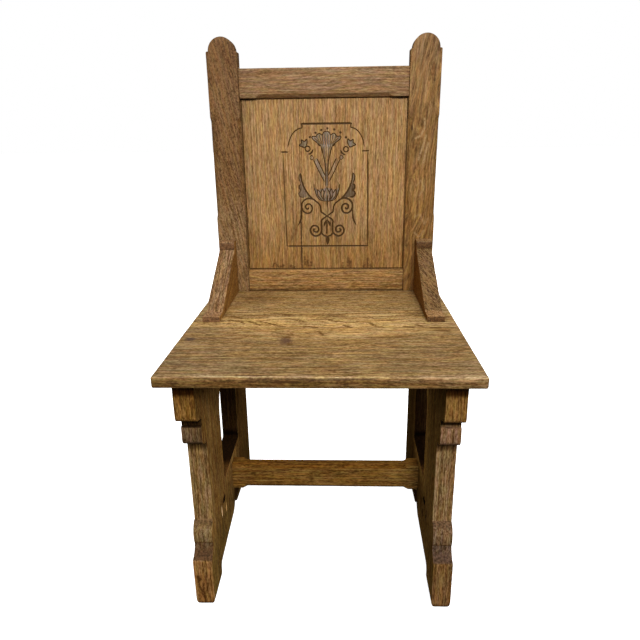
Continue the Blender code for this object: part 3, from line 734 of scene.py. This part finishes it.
def ornament_cuts():
    """All cuts: those on the axis, the dots, and two halves that are drawn on the right and mirrored."""
    cuts = [cut_line([(-49, 241), (49, 241)], 2.4), cut_line([(-84, 0), (84, 0)], 1.9),
            leaf_cut([(0.5, 106), (0.6, 95), (0.4, 78)], 2.3), cut_line([(-0.6, 50), (-0.8, 25.5)], 1.8),
            leaf_cut([(0.5, 20), (0.9, 12), (0.6, 2.0)], 5.0, swell=0.42)]
    cuts += [dot_cut(u, v) for u, v in DOTS]
    for side in (-1, 1):
        half = cartouche(side) + lily() + side_bud(side) + lotus(side) + wing(side) + lyre()
        for cut in half:
            cut.points[:, 0] *= side
        cuts += half
    return cuts


def ornament_hollows():
    """Outlines, darkness and wash of the shallow sunk grounds inside leaves and flowers."""
    half_lily = LILY_FAN + TUBE_SIDE[1:]
    half_lotus = LOTUS_OUTER[:-1] + [(18.8, 114), (9.8, 116)]
    hollows = [(half_lily + flip(half_lily[::-1], -1), 0.0, 1.0),
               (half_lotus + [(0, 119)] + flip(half_lotus[::-1], -1), 0.0, 1.0)]
    for side in (-1, 1):
        half = ((STEM_INNER + STEM_OUTER[::-1], 0.0, STEM_WASH[side]), (BEAD, 0.0, 0.6),
                (WING_LOBES + BRANCH[7:11], LOBE_DARK[side], 0.70), (BRANCH[10:] + WING_TIP, 0.0, 0.7),
                (trefoil(side), 0.12, 1.0))
        hollows += [(flip(outline, side), dark, wash) for outline, dark, wash in half]
    return [(np.array(outline, float), dark, wash) for outline, dark, wash in hollows]


def ornament_ridges():
    """Narrow ridges of wood left standing in the flowers."""
    ridges = [cut_line([(0, 222), (0.2, 190), (0, 150)], 1.2)]
    for side in (-1, 1):
        ridges += [cut_line(flip(line, side), 1.3) for line in LILY_RIDGES]
        ridges += [cut_line(flip(line, side), LOTUS_RIDGE[side]) for line in LOTUS_RIDGES]
    return ridges


def inside(points, outline):
    """Which points lie inside an outline."""
    result = np.zeros(len(points), bool)
    for (u0, v0), (u1, v1) in zip(outline, np.roll(outline, -1, 0)):
        spans = (v0 > points[:, 1]) != (v1 > points[:, 1])
        slope = (u1 - u0) / (v1 - v0 if v1 != v0 else 1e-9)
        result ^= spans & (points[:, 0] < u0 + slope * (points[:, 1] - v0))
    return result


def cut_share(points, cut):
    """How deep inside a cut each point is: 0 at its border and 1 on its centre line."""
    share = np.zeros(len(points))
    for a, b, wa, wb in zip(cut.points, cut.points[1:], cut.half, cut.half[1:]):
        span = b - a
        t = np.clip(((points - a) @ span) / max(span @ span, 1e-9), 0, 1)
        distance = np.linalg.norm(points - (a + t[:, None] * span), axis=1)
        share = np.maximum(share, 1 - distance / (wa + (wb - wa) * t))
    return share


def carved_depths(points, cuts, hollows, ridges):
    """Depth in millimetres, wash and darkness of every point of the panel's face."""
    depth, wash, dark = np.zeros((3, len(points)))
    for outline, shade, grey in hollows:
        sunk = inside(points, outline)
        depth[sunk] = HOLLOW_DEPTH
        wash[sunk] = grey
        dark[sunk] = shade
    for ridge in ridges:
        kept = 1 - cut_share(points, ridge)
        depth *= kept
        wash *= kept
    for cut in cuts:
        reach = cut.half.max()
        low, high = cut.points.min(0) - reach, cut.points.max(0) + reach
        near = np.where(((points >= low) & (points <= high)).all(1))[0]
        share = cut_share(points[near], cut)
        depth[near] = np.maximum(depth[near], cut.depth * share)
        dark[near] = np.maximum(dark[near], cut.dark * share)
    return depth, wash, dark


PANEL_GRID = 13.0
GRID_START = 4
GRID_STOP = 2
CLOSE = 1e-3
REAR_CLOSE = 1e-7
SEAM_HALF = 1.0
SEAM_DEPTH = 0.6
SEAM_DARK = ((55, 75), (0.75, 0.14))
MARGIN_HALF = 1.3
MARGIN_STEPS = 20
# Darkness of the joints at the bottom, right, top and left: real open joints with painted shade.
MARGIN_JOINT_AND_SHADE_DARK = (0.8, 0.34, 0.8, 0.8)


class Flat:
    """Points and fixed edges for the triangles of the panel's face."""

    def __init__(self):
        self.points = []
        self.edges = []

    def chain(self, line):
        start = len(self.points)
        self.points.extend(Vector((float(u), float(v))) for u, v in line)
        self.edges.extend((index, index + 1) for index in range(start, len(self.points) - 1))


def from_axis(point):
    """A point's place across the ornament, in millimetres."""
    return (point.x - ORNAMENT_AXIS) / MM


def from_base(point):
    """A point's height over the ornament's base, in millimetres."""
    return (point.z - ORNAMENT_BASE) / MM


def margin_cuts():
    """The dark open joints between the panel and its frame, deepened with painted shade where the frame
    stands proud.
    """
    left = from_axis(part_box("left_post")[1]) + MARGIN_HALF
    right = from_axis(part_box("right_post")[0]) - MARGIN_HALF
    bottom = from_base(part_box("bottom_rail")[1]) + MARGIN_HALF
    top = from_base(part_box("top_rail")[0]) - MARGIN_HALF
    corners = [(left, bottom), (right, bottom), (right, top), (left, top)]
    half = np.full(MARGIN_STEPS, MARGIN_HALF)
    return [Cut(np.linspace(start, end, MARGIN_STEPS), half, LINE_DEPTH, dark)
            for start, end, dark in zip(corners, corners[1:] + corners[:1], MARGIN_JOINT_AND_SHADE_DARK)]


def panel_face():
    """The panel's face as triangles, in millimetres, that follow all cuts' borders and centre lines."""
    left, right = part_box("panel_left_board"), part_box("panel_right_board")
    u_low, seam_left, seam_right, u_high = (from_axis(corner) for corner in (*left, *right))
    v_low, v_high = (from_base(corner) for corner in left)
    cuts = ornament_cuts() + margin_cuts()
    flat = Flat()
    ridges = ornament_ridges()
    for cut in cuts + ridges:
        flat.chain(cut.points)
        for border in cut.borders():
            flat.chain(border)
    for u in (seam_left - SEAM_HALF, seam_left, seam_right, seam_right + SEAM_HALF):
        flat.chain([(u, v) for v in np.arange(v_low, v_high, PANEL_GRID)] + [(u, v_high)])
    flat.chain([(u_low, v_low), (u_high, v_low), (u_high, v_high), (u_low, v_high), (u_low, v_low)])
    for u in np.arange(u_low + GRID_START, u_high - GRID_STOP, PANEL_GRID):
        for v in np.arange(v_low + GRID_START, v_high - GRID_STOP, PANEL_GRID):
            flat.points.append(Vector((float(u), float(v))))
    corners, _, faces, *_ = delaunay_2d_cdt(flat.points, flat.edges, [], 0, CLOSE)
    corners = np.array([tuple(corner) for corner in corners])
    return corners, faces, carved_depths(corners, cuts, ornament_hollows(), ridges), (seam_left, seam_right)


def panel_board(node, keep, face_data, material):
    """One board of the panel: its share of the carved face, its edges and its plain back."""
    corners, faces, (depth, wash, dark), seam = face_data
    low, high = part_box(node)
    bm = bmesh.new()
    wash_layer = bm.verts.layers.float.new("wash")
    cut_layer = bm.verts.layers.float.new("cut")
    made = {}
    for face in faces:
        if not keep(corners[list(face)].mean(0)[0]):
            continue
        for index in face:
            if index in made:
                continue
            u, v = corners[index]
            on_seam = min(abs(u - seam[0]), abs(u - seam[1])) < CLOSE
            point = Vector((ORNAMENT_AXIS + u * MM, low.y, ORNAMENT_BASE + v * MM))
            sink = max(depth[index], SEAM_DEPTH if on_seam else 0.0) * MM
            point.y += sink + FLAT_WEAR * (0.5 + 0.5 * noise.noise(point * WEAR_SCALE))
            made[index] = bm.verts.new(point)
            made[index][wash_layer] = wash[index]
            made[index][cut_layer] = max(dark[index], np.interp(v, *SEAM_DARK) if on_seam else 0.0)
        bm.faces.new([made[index] for index in face])
    copied = bmesh.ops.extrude_face_region(bm, geom=bm.faces[:], use_keep_orig=True)
    for item in copied["geom"]:
        if isinstance(item, bmesh.types.BMVert):
            item.co.y = high.y
            item[wash_layer] = 0.0
            item[cut_layer] = 0.0
    bmesh.ops.recalc_face_normals(bm, faces=bm.faces)
    rear = [vert for vert in bm.verts if abs(vert.co.y - high.y) < REAR_CLOSE]
    behind = set(rear)
    rear_edges = [edge for edge in bm.edges if behind.issuperset(edge.verts)]
    bmesh.ops.dissolve_limit(bm, angle_limit=FLAT, verts=rear, edges=rear_edges)
    piece = add_piece("carved_" + node, bm, material, "panel_oak", node)
    piece.data.set_sharp_from_angle(angle=CARVED_CREASE)
    return piece


# Materials by piece
SEAT_FRONT = (0.240, 0.139, 0.050)
SEAT_REAR = (0.290, 0.172, 0.062)
LEFT_TRESTLE = (0.175, 0.100, 0.036)
RIGHT_TRESTLE = (0.168, 0.094, 0.037)
STRETCHER = (0.146, 0.069, 0.0142)
LEFT_POST = (0.136, 0.065, 0.0215)
RIGHT_POST = (0.197, 0.099, 0.0296)
TOP_RAIL = (0.234, 0.130, 0.056)
BOTTOM_RAIL = (0.244, 0.127, 0.040)
LEFT_BRACKET = (0.192, 0.103, 0.043)
RIGHT_BRACKET = (0.118, 0.060, 0.0207)
PANEL = (0.305, 0.167, 0.062)
BEECH = (0.45, 0.33, 0.20)
# Dark brown for stains and dark lines, and for painted shadow under the top rail's ends.
STAIN_AND_SHADOW_BROWN = (0.045, 0.022, 0.010)
# Painted shade inside the round piercings of the trestle ends.
HOLE_SHADE_BROWN = (0.010, 0.006, 0.004)
GREY_STAIN = (0.062, 0.034, 0.026)
NICK_BROWN = (0.050, 0.018, 0.008)
DRIP_BROWN = (0.060, 0.022, 0.004)
RAIL_BROWN = (0.066, 0.026, 0.006)
STREAK_BROWN = (0.120, 0.054, 0.010)
SMUDGE = (0.092, 0.046, 0.028)
WAVE_PALE = (0.420, 0.270, 0.125)
SEAT_TOP = 442
SQUARE_ON = (0.93, 0.99)

# Strokes, given one by one; these and all marks are in millimetres
RAIL_DIRT = (((-113, 490), (-107, 499), (-101, 492), (-91, 491), (-88, 496)),
             ((-80, 490), (-73, 493), (-64, 489)), ((-44, 513), (-42.5, 494)), ((-38, 506), (-36, 492)),
             ((-31, 502), (-30, 492)), ((36.5, 500), (36, 488)), ((48, 510), (47, 490)),
             ((52, 504), (53.5, 489)), ((78, 490), (84, 494)), ((88.5, 510), (88, 489)),
             ((93, 496), (97.5, 490)))
BOLD_WAVES = (((196.5, 752.5), (192.5, 736), (186, 715.5), (183.5, 706)),
              ((201.5, 738.5), (196.5, 718.5), (194, 700.5)),
              ((175.5, 746), (186, 751.5), (194, 767), (192, 783.5)))
FAINT_WAVES = (((192, 883), (181, 857.5), (176, 830)), ((199, 874.5), (192, 843.5), (191.5, 819)),
               ((181, 656.5), (190.5, 668), (197.5, 653.5), (187.5, 637)),
               ((180.5, 595.5), (191, 601.5), (201, 580.5), (208, 593.5)),
               ((180.5, 565), (191, 555), (200.5, 569)))
STREAKS = (((-171.5, 14.5), (-148.5, 6), (-137.5, -5.5)), ((-134.5, 8.5), (-118, -5.5), (-108.5, -16)),
           ((-112.5, 5.5), (-97, -2.5), (-79.5, -16.5), (-65, -24)), ((-7, -45), (3, -67)),
           ((9, 16.5), (23, 5)), ((35.5, -14), (51, -27)), ((81.5, -0.5), (95, -24.5)),
           ((184, -27.5), (202.5, -30)), ((188.5, -42), (215, -43.5)), ((195, -74.5), (206.5, -74.5)),
           ((-75, -58), (-46.5, -62.5)), ((-65.5, -74), (-50.5, -76)), ((-54, -106.5), (-45.5, -107)),
           ((-97, 56.5), (-58.5, 42.5)), ((163, -10.5), (174, -25)), ((139, -21), (157.5, -26.5)),
           ((75.5, -75.5), (142, -73)), ((-171.5, 37.5), (-145.5, 22.5)), ((-48.5, 13.5), (-30, 2.5)),
           ((-34, -19), (-7.5, -27)))
DRIPS = (((-208.5, 58), (-207.5, 39.5), (-201.5, 23), (-200, 15)),
         ((-199.5, 45), (-201, 28.5), (-198.5, 6.5)), ((-192, 45), (-196, 23.5)), ((-209, 60), (-206, 48)),
         ((-206.5, 60), (-203.5, 50)))
# A dark line along the seat's front face, just below its arris.
FRONT_EDGE_LINE = ((-95, 440), (-60, 439), (0, 438.5), (45, 439.5), (80, 438.5))


def panel_marks():
    """Darker lower end, middle and left edge, grime at the rail and in the joint, painted shadow under the
    top rail's ends, a painted highlight by the joint, and the ornament.
    """
    low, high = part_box("panel_left_board")
    face, joint = low.y / MM, high.x / MM
    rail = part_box("bottom_rail")[1].z / MM + 1
    # The first two spots are painted shadow under the ends of the top rail; the others are dirt at the
    # bottom rail and in the joint.
    spots = ((-148, 822, 14, 4), (147, 822, 16, 4), (100, rail, 70, 2.2), (joint, 585, 1.8, 50),
             (joint, 520, 2.2, 35))
    dirt_and_shadows = [stain_and_painted_light((x, face, z), (wide, 10, tall), 0.85, STAIN_AND_SHADOW_BROWN, 0.6) for x, z, wide, tall in spots]
    return (band(DOWN, -620, -490, (0.80, 0.73, 0.56)), band(LEFT, 115, 155, (0.84, 0.85, 0.84)),
            stain_and_painted_light((12, face, 560), (120, 20, 110), 1.0, (0.83, 0.85, 0.86), 0.15, "MULTIPLY"),
            *dirt_and_shadows, *front_strokes(RAIL_DIRT, 5.0, 0.85, RAIL_BROWN),
            # Painted highlight: a pale line beside the joint, high on the panel.
            stain_and_painted_light((joint + 2, face, 790), (1.8, 10, 45), 0.7, (1.35, 1.38, 1.45), 0.3, "MULTIPLY"),
            carved)


def left_post_marks():
    """Paler, yellower wood low down and greyer wood at the head."""
    return band(DOWN, -660, -600, (1.28, 1.45, 1.72)), band(UP, 820, 900, (0.95, 0.93, 0.90))


def right_post_marks():
    """Pale waves of figure, and a nick near the inner arris."""
    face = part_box("right_post")[0].y / MM
    return (band(DOWN, -680, -620, (0.90, 0.86, 0.76)), band(UP, 860, 900, (0.93, 0.96, 1.12)),
            *front_strokes(BOLD_WAVES, 3.4, 0.65, WAVE_PALE),
            *front_strokes(FAINT_WAVES, 3.4, 0.32, WAVE_PALE),
            stain_and_painted_light((169, face, 766), (2.4, 6, 8.5), 1.0, NICK_BROWN, 0.2))


def bottom_rail_marks():
    """A pale upper edge, rubbed and with a painted highlight, and grime along the seat."""
    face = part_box("bottom_rail")[0].y / MM
    # Painted highlight along the rubbed upper edge.
    pale = stain_and_painted_light((-45, face, 481), (100, 20, 5.5), 0.9, (1.28, 1.30, 1.40), 0.5, "MULTIPLY")
    return pale, band(DOWN, -447, -443, (0.50, 0.46, 0.42))


def seat_seam(nodes, base):
    """Dirt in the joint between the two seat boards."""
    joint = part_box("seat_front_board")[1].y / MM
    gap = nodes.math("ABSOLUTE", nodes.math("SUBTRACT", nodes.along(BACK), joint))
    return nodes.mix(nodes.spread(gap, 2.2, 0.6, 0.0, 0.45), base, tint(SEAT_FRONT, DEEP))


def seat_patch(x, y, wide, deep, factors, ragged=0.3, high=50):
    """A patch of the seat that is paler or darker than the rest."""
    return stain_and_painted_light((x, y, SEAT_TOP), (wide, deep, high), 1.0, factors, ragged, "MULTIPLY")


def seat_glow(level):
    """A paler, golden patch across the middle of both seat boards."""
    return seat_patch(-10, -16, 245, 80, (level, 1.02 * level, 1.03 * level), 0.12)


def seat_streaks():
    """Dark strokes of cathedral figure on both sides of the seat's joint."""
    return [stroke(points, 6.2, 1.0, STREAK_BROWN) for points in STREAKS]


def seat_front_marks():
    """The paler middle, patches, stains, strokes, a greyer left corner, a dark edge, and a rubbed arris
    with a painted highlight and a dark line below it.
    """
    return (seat_glow(1.75), seat_patch(40, -145, 50, 40, (1.20, 1.20, 1.20)),
            seat_patch(120, -205, 60, 30, (0.78, 0.78, 0.78)),
            seat_patch(205, -35, 30, 30, (0.84, 0.77, 0.64)),
            stain_and_painted_light((-57.5, -90, SEAT_TOP), (16, 21, 10), 0.90, SMUDGE, 0.8),
            stain_and_painted_light((-216, -84, SEAT_TOP), (14, 10, 10), 0.85, GREY_STAIN, 0.6),
            band(FRONT, 80, 235, (0.88, 0.90, 0.95)), band(LEFT, 100, 235, (0.88, 0.88, 0.94)),
            *seat_streaks(), facing(FRONT, (0.60, 0.52, 0.37)),
            deepening(FRONT, RIGHT, 80, 200, (1.30, 1.38, 1.75)),
            # Painted highlight on the rubbed front arris, on the faces turned up and forwards.
            facing((0, -0.707, 0.707), (1.60, 1.72, 2.10), (0.72, 0.95)),
            *front_strokes((FRONT_EDGE_LINE,), 1.9, 0.75, STAIN_AND_SHADOW_BROWN), seat_seam)


def seat_rear_marks():
    """The paler middle, dark strokes, painted shadow by the left bracket and darker wood along the back."""
    # The patch near the left bracket is painted shadow.
    return (seat_glow(1.50), seat_patch(-135, 155, 60, 50, (0.76, 0.70, 0.64), 0.2, 20),
            band(BACK, 100, 200, (0.93, 0.92, 0.90)), *seat_streaks(),
            band(BACK, 204.5, 210.5, (0.45, 0.40, 0.35)), seat_seam)


def trestle_marks(inner, inner_face_light, block, roll, knee, foot, cove, slit_light_and_shade, neck):
    """Golden blocks and feet, painted shade under the seat, in quirks, necks and piercings, and painted
    light on the inner faces.
    """
    # Painted shade for the opening's rear jamb and sill and for the walls of the round piercing.
    opening_shade, hole_shade = (0.13, 0.10, 0.07), (0.10, 0.07, 0.05)
    side = -inner[0]
    # Painted shadow of the stretcher on the inner face.
    under = stain_and_painted_light((side * 182.5, 45, 68), (16, 60, 38), 1.0, (0.16, 0.11, 0.08), 0.2, "MULTIPLY")
    # Painted shade inside the round piercing.
    shade = stain_and_painted_light((side * 198.5, -71 + side * 3.5, 124 - side * 3), (50, 16.5, 8.5), 1.0, HOLE_SHADE_BROWN, 0.1)
    # Then painted shade in the quirk under the knee, in the neck, under the roll, on the block's top under
    # the seat and in the opening; a darker lowest edge of the foot; a browner front of the sill.
    # Zones: tints of the block, roll, knee, foot and cove, and a painted highlight on the foot's top lip.
    zones = ((354, 430, 3, block), (298, 335.5, 3, roll), (113.5, 150, 4, knee), (-10, 89.5, 3, foot),
             (89.5, 111, 2, cove), (89.5, 98, 4, (1.25, 1.25, 1.25)), (110.5, 113.5, 1, (0.60, 0.52, 0.46)),
             (neck, 352, 1.5, (0.16, 0.13, 0.10), (-187, -100), 4), (281.5, 299, 6, (0.36, 0.32, 0.27)),
             (399.5, 430, 4, (0.20, 0.14, 0.09)), (-10, 6, 4, (0.40, 0.34, 0.30)),
             (160, 380, 8, opening_shade, (-51, 205)), (50, 176, 8, opening_shade, (-10, 205), 20),
             (50, 165, 4, (0.90, 0.70, 0.42), (-60, 10)))
    # Painted shade in the round piercing; painted light or shade in the slits, as each end passes in.
    piercings = ((117, 131, 1, hole_shade, (-82, -60), 1), (99, 131, 1, slit_light_and_shade, (-102, -88), 1),
                 (80, 112, 1, slit_light_and_shade, (-70, -55.5), 1))
    # Painted light on the inner face, and painted shade deepening towards the back and up under the seat.
    return (facing(inner, inner_face_light), deepening(inner, BACK, 30, 110, (0.45, 0.42, 0.36)),
            *(edge_zone(*zone) for zone in zones), under, shade, band(UP, 340, 420, (0.60, 0.58, 0.50)),
            *(edge_zone(*zone) for zone in piercings))


def left_trestle_marks():
    """The marks of both trestle ends, with drips on the foot and a darker lower part."""
    # Painted light on the inner face and in the slits, and painted shade on the roll.
    marks = trestle_marks(RIGHT, (1.76, 1.56, 1.14), block=(1.13, 0.94, 0.55), roll=(0.67, 0.66, 0.78),
                          knee=(0.82, 0.85, 0.95), foot=(1.03, 0.83, 0.65), cove=(0.45, 0.41, 0.49),
                          slit_light_and_shade=(2.8, 3.1, 3.8), neck=333.5)
    return (*marks, *front_strokes(DRIPS, 4.0, 1.0, DRIP_BROWN),
            deepening(RIGHT, DOWN, -140, -60, (0.70, 0.76, 0.70)))


def right_trestle_marks():
    # Painted light on the inner face and painted shade in the slits.
    return trestle_marks(LEFT, (1.20, 1.11, 0.64), block=(1.25, 1.10, 0.77), roll=(1.00, 0.94, 1.14),
                         knee=(0.78, 0.80, 0.98), foot=(0.80, 0.70, 0.57), cove=(0.46, 0.48, 0.71),
                         slit_light_and_shade=(0.30, 0.25, 0.20), neck=337.5)


def stretcher_marks():
    """Paler wood at the right end, and upper faces darkened with painted shade from the seat above."""
    return band(RIGHT, 90, 170, (1.12, 1.20, 1.35)), facing(UP, (0.80, 0.70, 0.55), (0.3, 0.7))


def bracket_marks(inner, inner_face_light, ledge_light):
    """Painted light on the inner face and on the upward ledges, and darker front ends."""
    # Painted light: the inner face and the ledges are tinted for the light that falls on them.
    return (facing(inner, inner_face_light), facing(UP, ledge_light, SQUARE_ON),
            facing(FRONT, (0.90, 0.84, 0.80), SQUARE_ON))


def looks():
    """Node, slot, width of the eased arrises and look of every plain piece."""
    return (
        ("seat_front_board", "seat_oak", 0.0008,
         Look(SEAT_FRONT, RIGHT, 1.25, (1.2, 0.75), ring=0.25, pith=(-0.39, 0.03),
              marks=seat_front_marks())),
        ("seat_rear_board", "seat_oak", 0.0008,
         Look(SEAT_REAR, (1, 0.03, 0), 1.3, (1.5, 0.75), 0.020, ring=0.35, pith=(-0.40, 0.04),
              marks=seat_rear_marks())),
        ("left_trestle_end", "trestle_oak", 0.0022,
         Look(LEFT_TRESTLE, UP, 1.28, marks=left_trestle_marks(), **DULL)),
        ("right_trestle_end", "trestle_oak", 0.0022,
         Look(RIGHT_TRESTLE, UP, 1.28, marks=right_trestle_marks(), **DULL)),
        ("stretcher", "trestle_oak", 0.0009,
         Look(STRETCHER, RIGHT, 1.4, fleck=0.3, marks=stretcher_marks(), **DULL)),
        ("left_post", "frame_oak", 0.0011,
         Look(LEFT_POST, (-0.22, 0, 1), 1.05, (4.0, 0.9), warp=0.014, cloud=1.0, fleck=0.7, glimmer=0.65,
              marks=left_post_marks())),
        ("right_post", "frame_oak", 0.0011,
         Look(RIGHT_POST, (0.10, 0, 1), 0.80, (0.8, 0.8), warp=0.035, cloud=0.4, fleck=0.3, glimmer=0.25,
              ring=0.45, marks=right_post_marks())),
        ("top_rail", "frame_oak", 0.0009, Look(TOP_RAIL, RIGHT, 0.8, warp=0.014, fleck=0.3)),
        ("bottom_rail", "frame_oak", 0.0008, Look(BOTTOM_RAIL, RIGHT, 1.10, marks=bottom_rail_marks())),
        ("left_bracket", "frame_oak", 0.0010,
         Look(LEFT_BRACKET, (0, 0.86, 0.50), 1.6, fleck=0.3, glimmer=0.30,
              marks=bracket_marks(RIGHT, (1.28, 1.11, 0.56), (1.25, 1.20, 1.20)))),
        ("right_bracket", "frame_oak", 0.0010,
         Look(RIGHT_BRACKET, (-0.50, 0.75, 0.43), 2.7, (2.4, 1.5), fleck=0.5, glimmer=0.85,
              marks=bracket_marks(LEFT, (1.13, 0.75, 0.10), (2.00, 2.00, 2.15)))),
    )


PANEL_SEED = 21
DOWEL_SEED = 31


def make_pieces():
    for seed, (node, slot, width, look) in enumerate(looks(), 1):
        worn_piece(node, oak(node + "_oak", look, seed), slot, width, seed)
    face_data = panel_face()
    seam = face_data[-1]
    boards = (("panel_left_board", lambda u: u < seam[0]), ("panel_right_board", lambda u: u > seam[1]))
    look = Look(PANEL, UP, 0.86, (0.65, 1.1), fleck=0.10, glimmer=0.20, cloud=0.5, marks=panel_marks())
    for seed, (node, keep) in enumerate(boards, PANEL_SEED):
        panel_board(node, keep, face_data, oak(node + "_oak", look, seed))
    beech = oak("dowel_beech", Look(BEECH, BACK, 0.5), DOWEL_SEED)
    for name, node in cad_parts.items():
        if "dowel" in name:
            node.data.materials.clear()
            node.data.materials.append(beech)


# Floor and light
FLOOR_HALF = 20.0
FLOOR_WHITE = (0.94, 0.94, 0.94, 1.0)
FLOOR_GLOW = 0.80
FLOOR_ROUGH = 0.9
WHITE = (1.0, 1.0, 1.0, 1.0)
DOME_LEAN = (0.15, -0.30, 0.94)
DOME_RANGE = {"From Min": -0.10, "From Max": 1.0, "To Min": 0.03, "To Max": 1.05}


def make_floor():
    mesh = bpy.data.meshes.new("floor")
    bm = bmesh.new()
    bmesh.ops.create_grid(bm, x_segments=2, y_segments=2, size=FLOOR_HALF)
    bm.to_mesh(mesh)
    bm.free()
    material = bpy.data.materials.new("floor_white")
    nodes = Nodes(material)
    nodes.fill(nodes.tree.nodes["Principled BSDF"],
               {"Base Color": FLOOR_WHITE, "Roughness": FLOOR_ROUGH, "Emission Color": WHITE,
                "Emission Strength": FLOOR_GLOW})
    mesh.materials.append(material)
    floor = show("floor", mesh)
    floor.visible_diffuse = False
    floor.visible_glossy = False


def make_dome():
    """A soft dome, brightest above and in front, over a dark ground, and the camera's white backdrop."""
    world = bpy.data.worlds.new("studio")
    nodes = Nodes(world)
    lean = nodes.dot(nodes.way, Vector(DOME_LEAN).normalized())
    level = nodes.add("MapRange", {"Value": lean, **DOME_RANGE}).outputs["Result"]
    dome = nodes.tree.nodes["Background"]
    nodes.fill(dome, {"Color": WHITE, "Strength": level})
    backdrop = nodes.add("Background", {"Color": WHITE})
    seen = nodes.add("LightPath", {}).outputs["Is Camera Ray"]
    choice = nodes.add("MixShader", {0: seen, 1: dome.outputs[0], 2: backdrop.outputs[0]})
    nodes.fill(nodes.tree.nodes["World Output"], {"Surface": choice.outputs[0]})
    bpy.context.scene.world = world


def make_light(name, place, aim, size, power, gloss=True):
    light = bpy.data.lights.new(name, "AREA")
    light.shape = "DISK"
    light.size = size
    light.energy = power
    holder = show(name, light)
    holder.location = place
    holder.visible_camera = False
    holder.visible_glossy = gloss
    holder.rotation_euler = (Vector(aim) - Vector(place)).to_track_quat("-Z", "Y").to_euler()


def make_lights():
    make_dome()
    make_light("key", (0.45, -2.75, 2.3), (0.0, 0.0, 0.45), 0.9, 95.0)
    make_light("back fill", (0.0, 2.70, 0.75), (0.0, 0.0, 0.50), 1.2, 50.0, False)
    make_light("side fill", (-2.60, 0.015, 0.25), (0.0, 0.0, 0.35), 0.4, 13.0, False)
    bpy.context.scene.view_settings.view_transform = "Standard"


make_camera()
make_floor()
make_lights()
make_pieces()
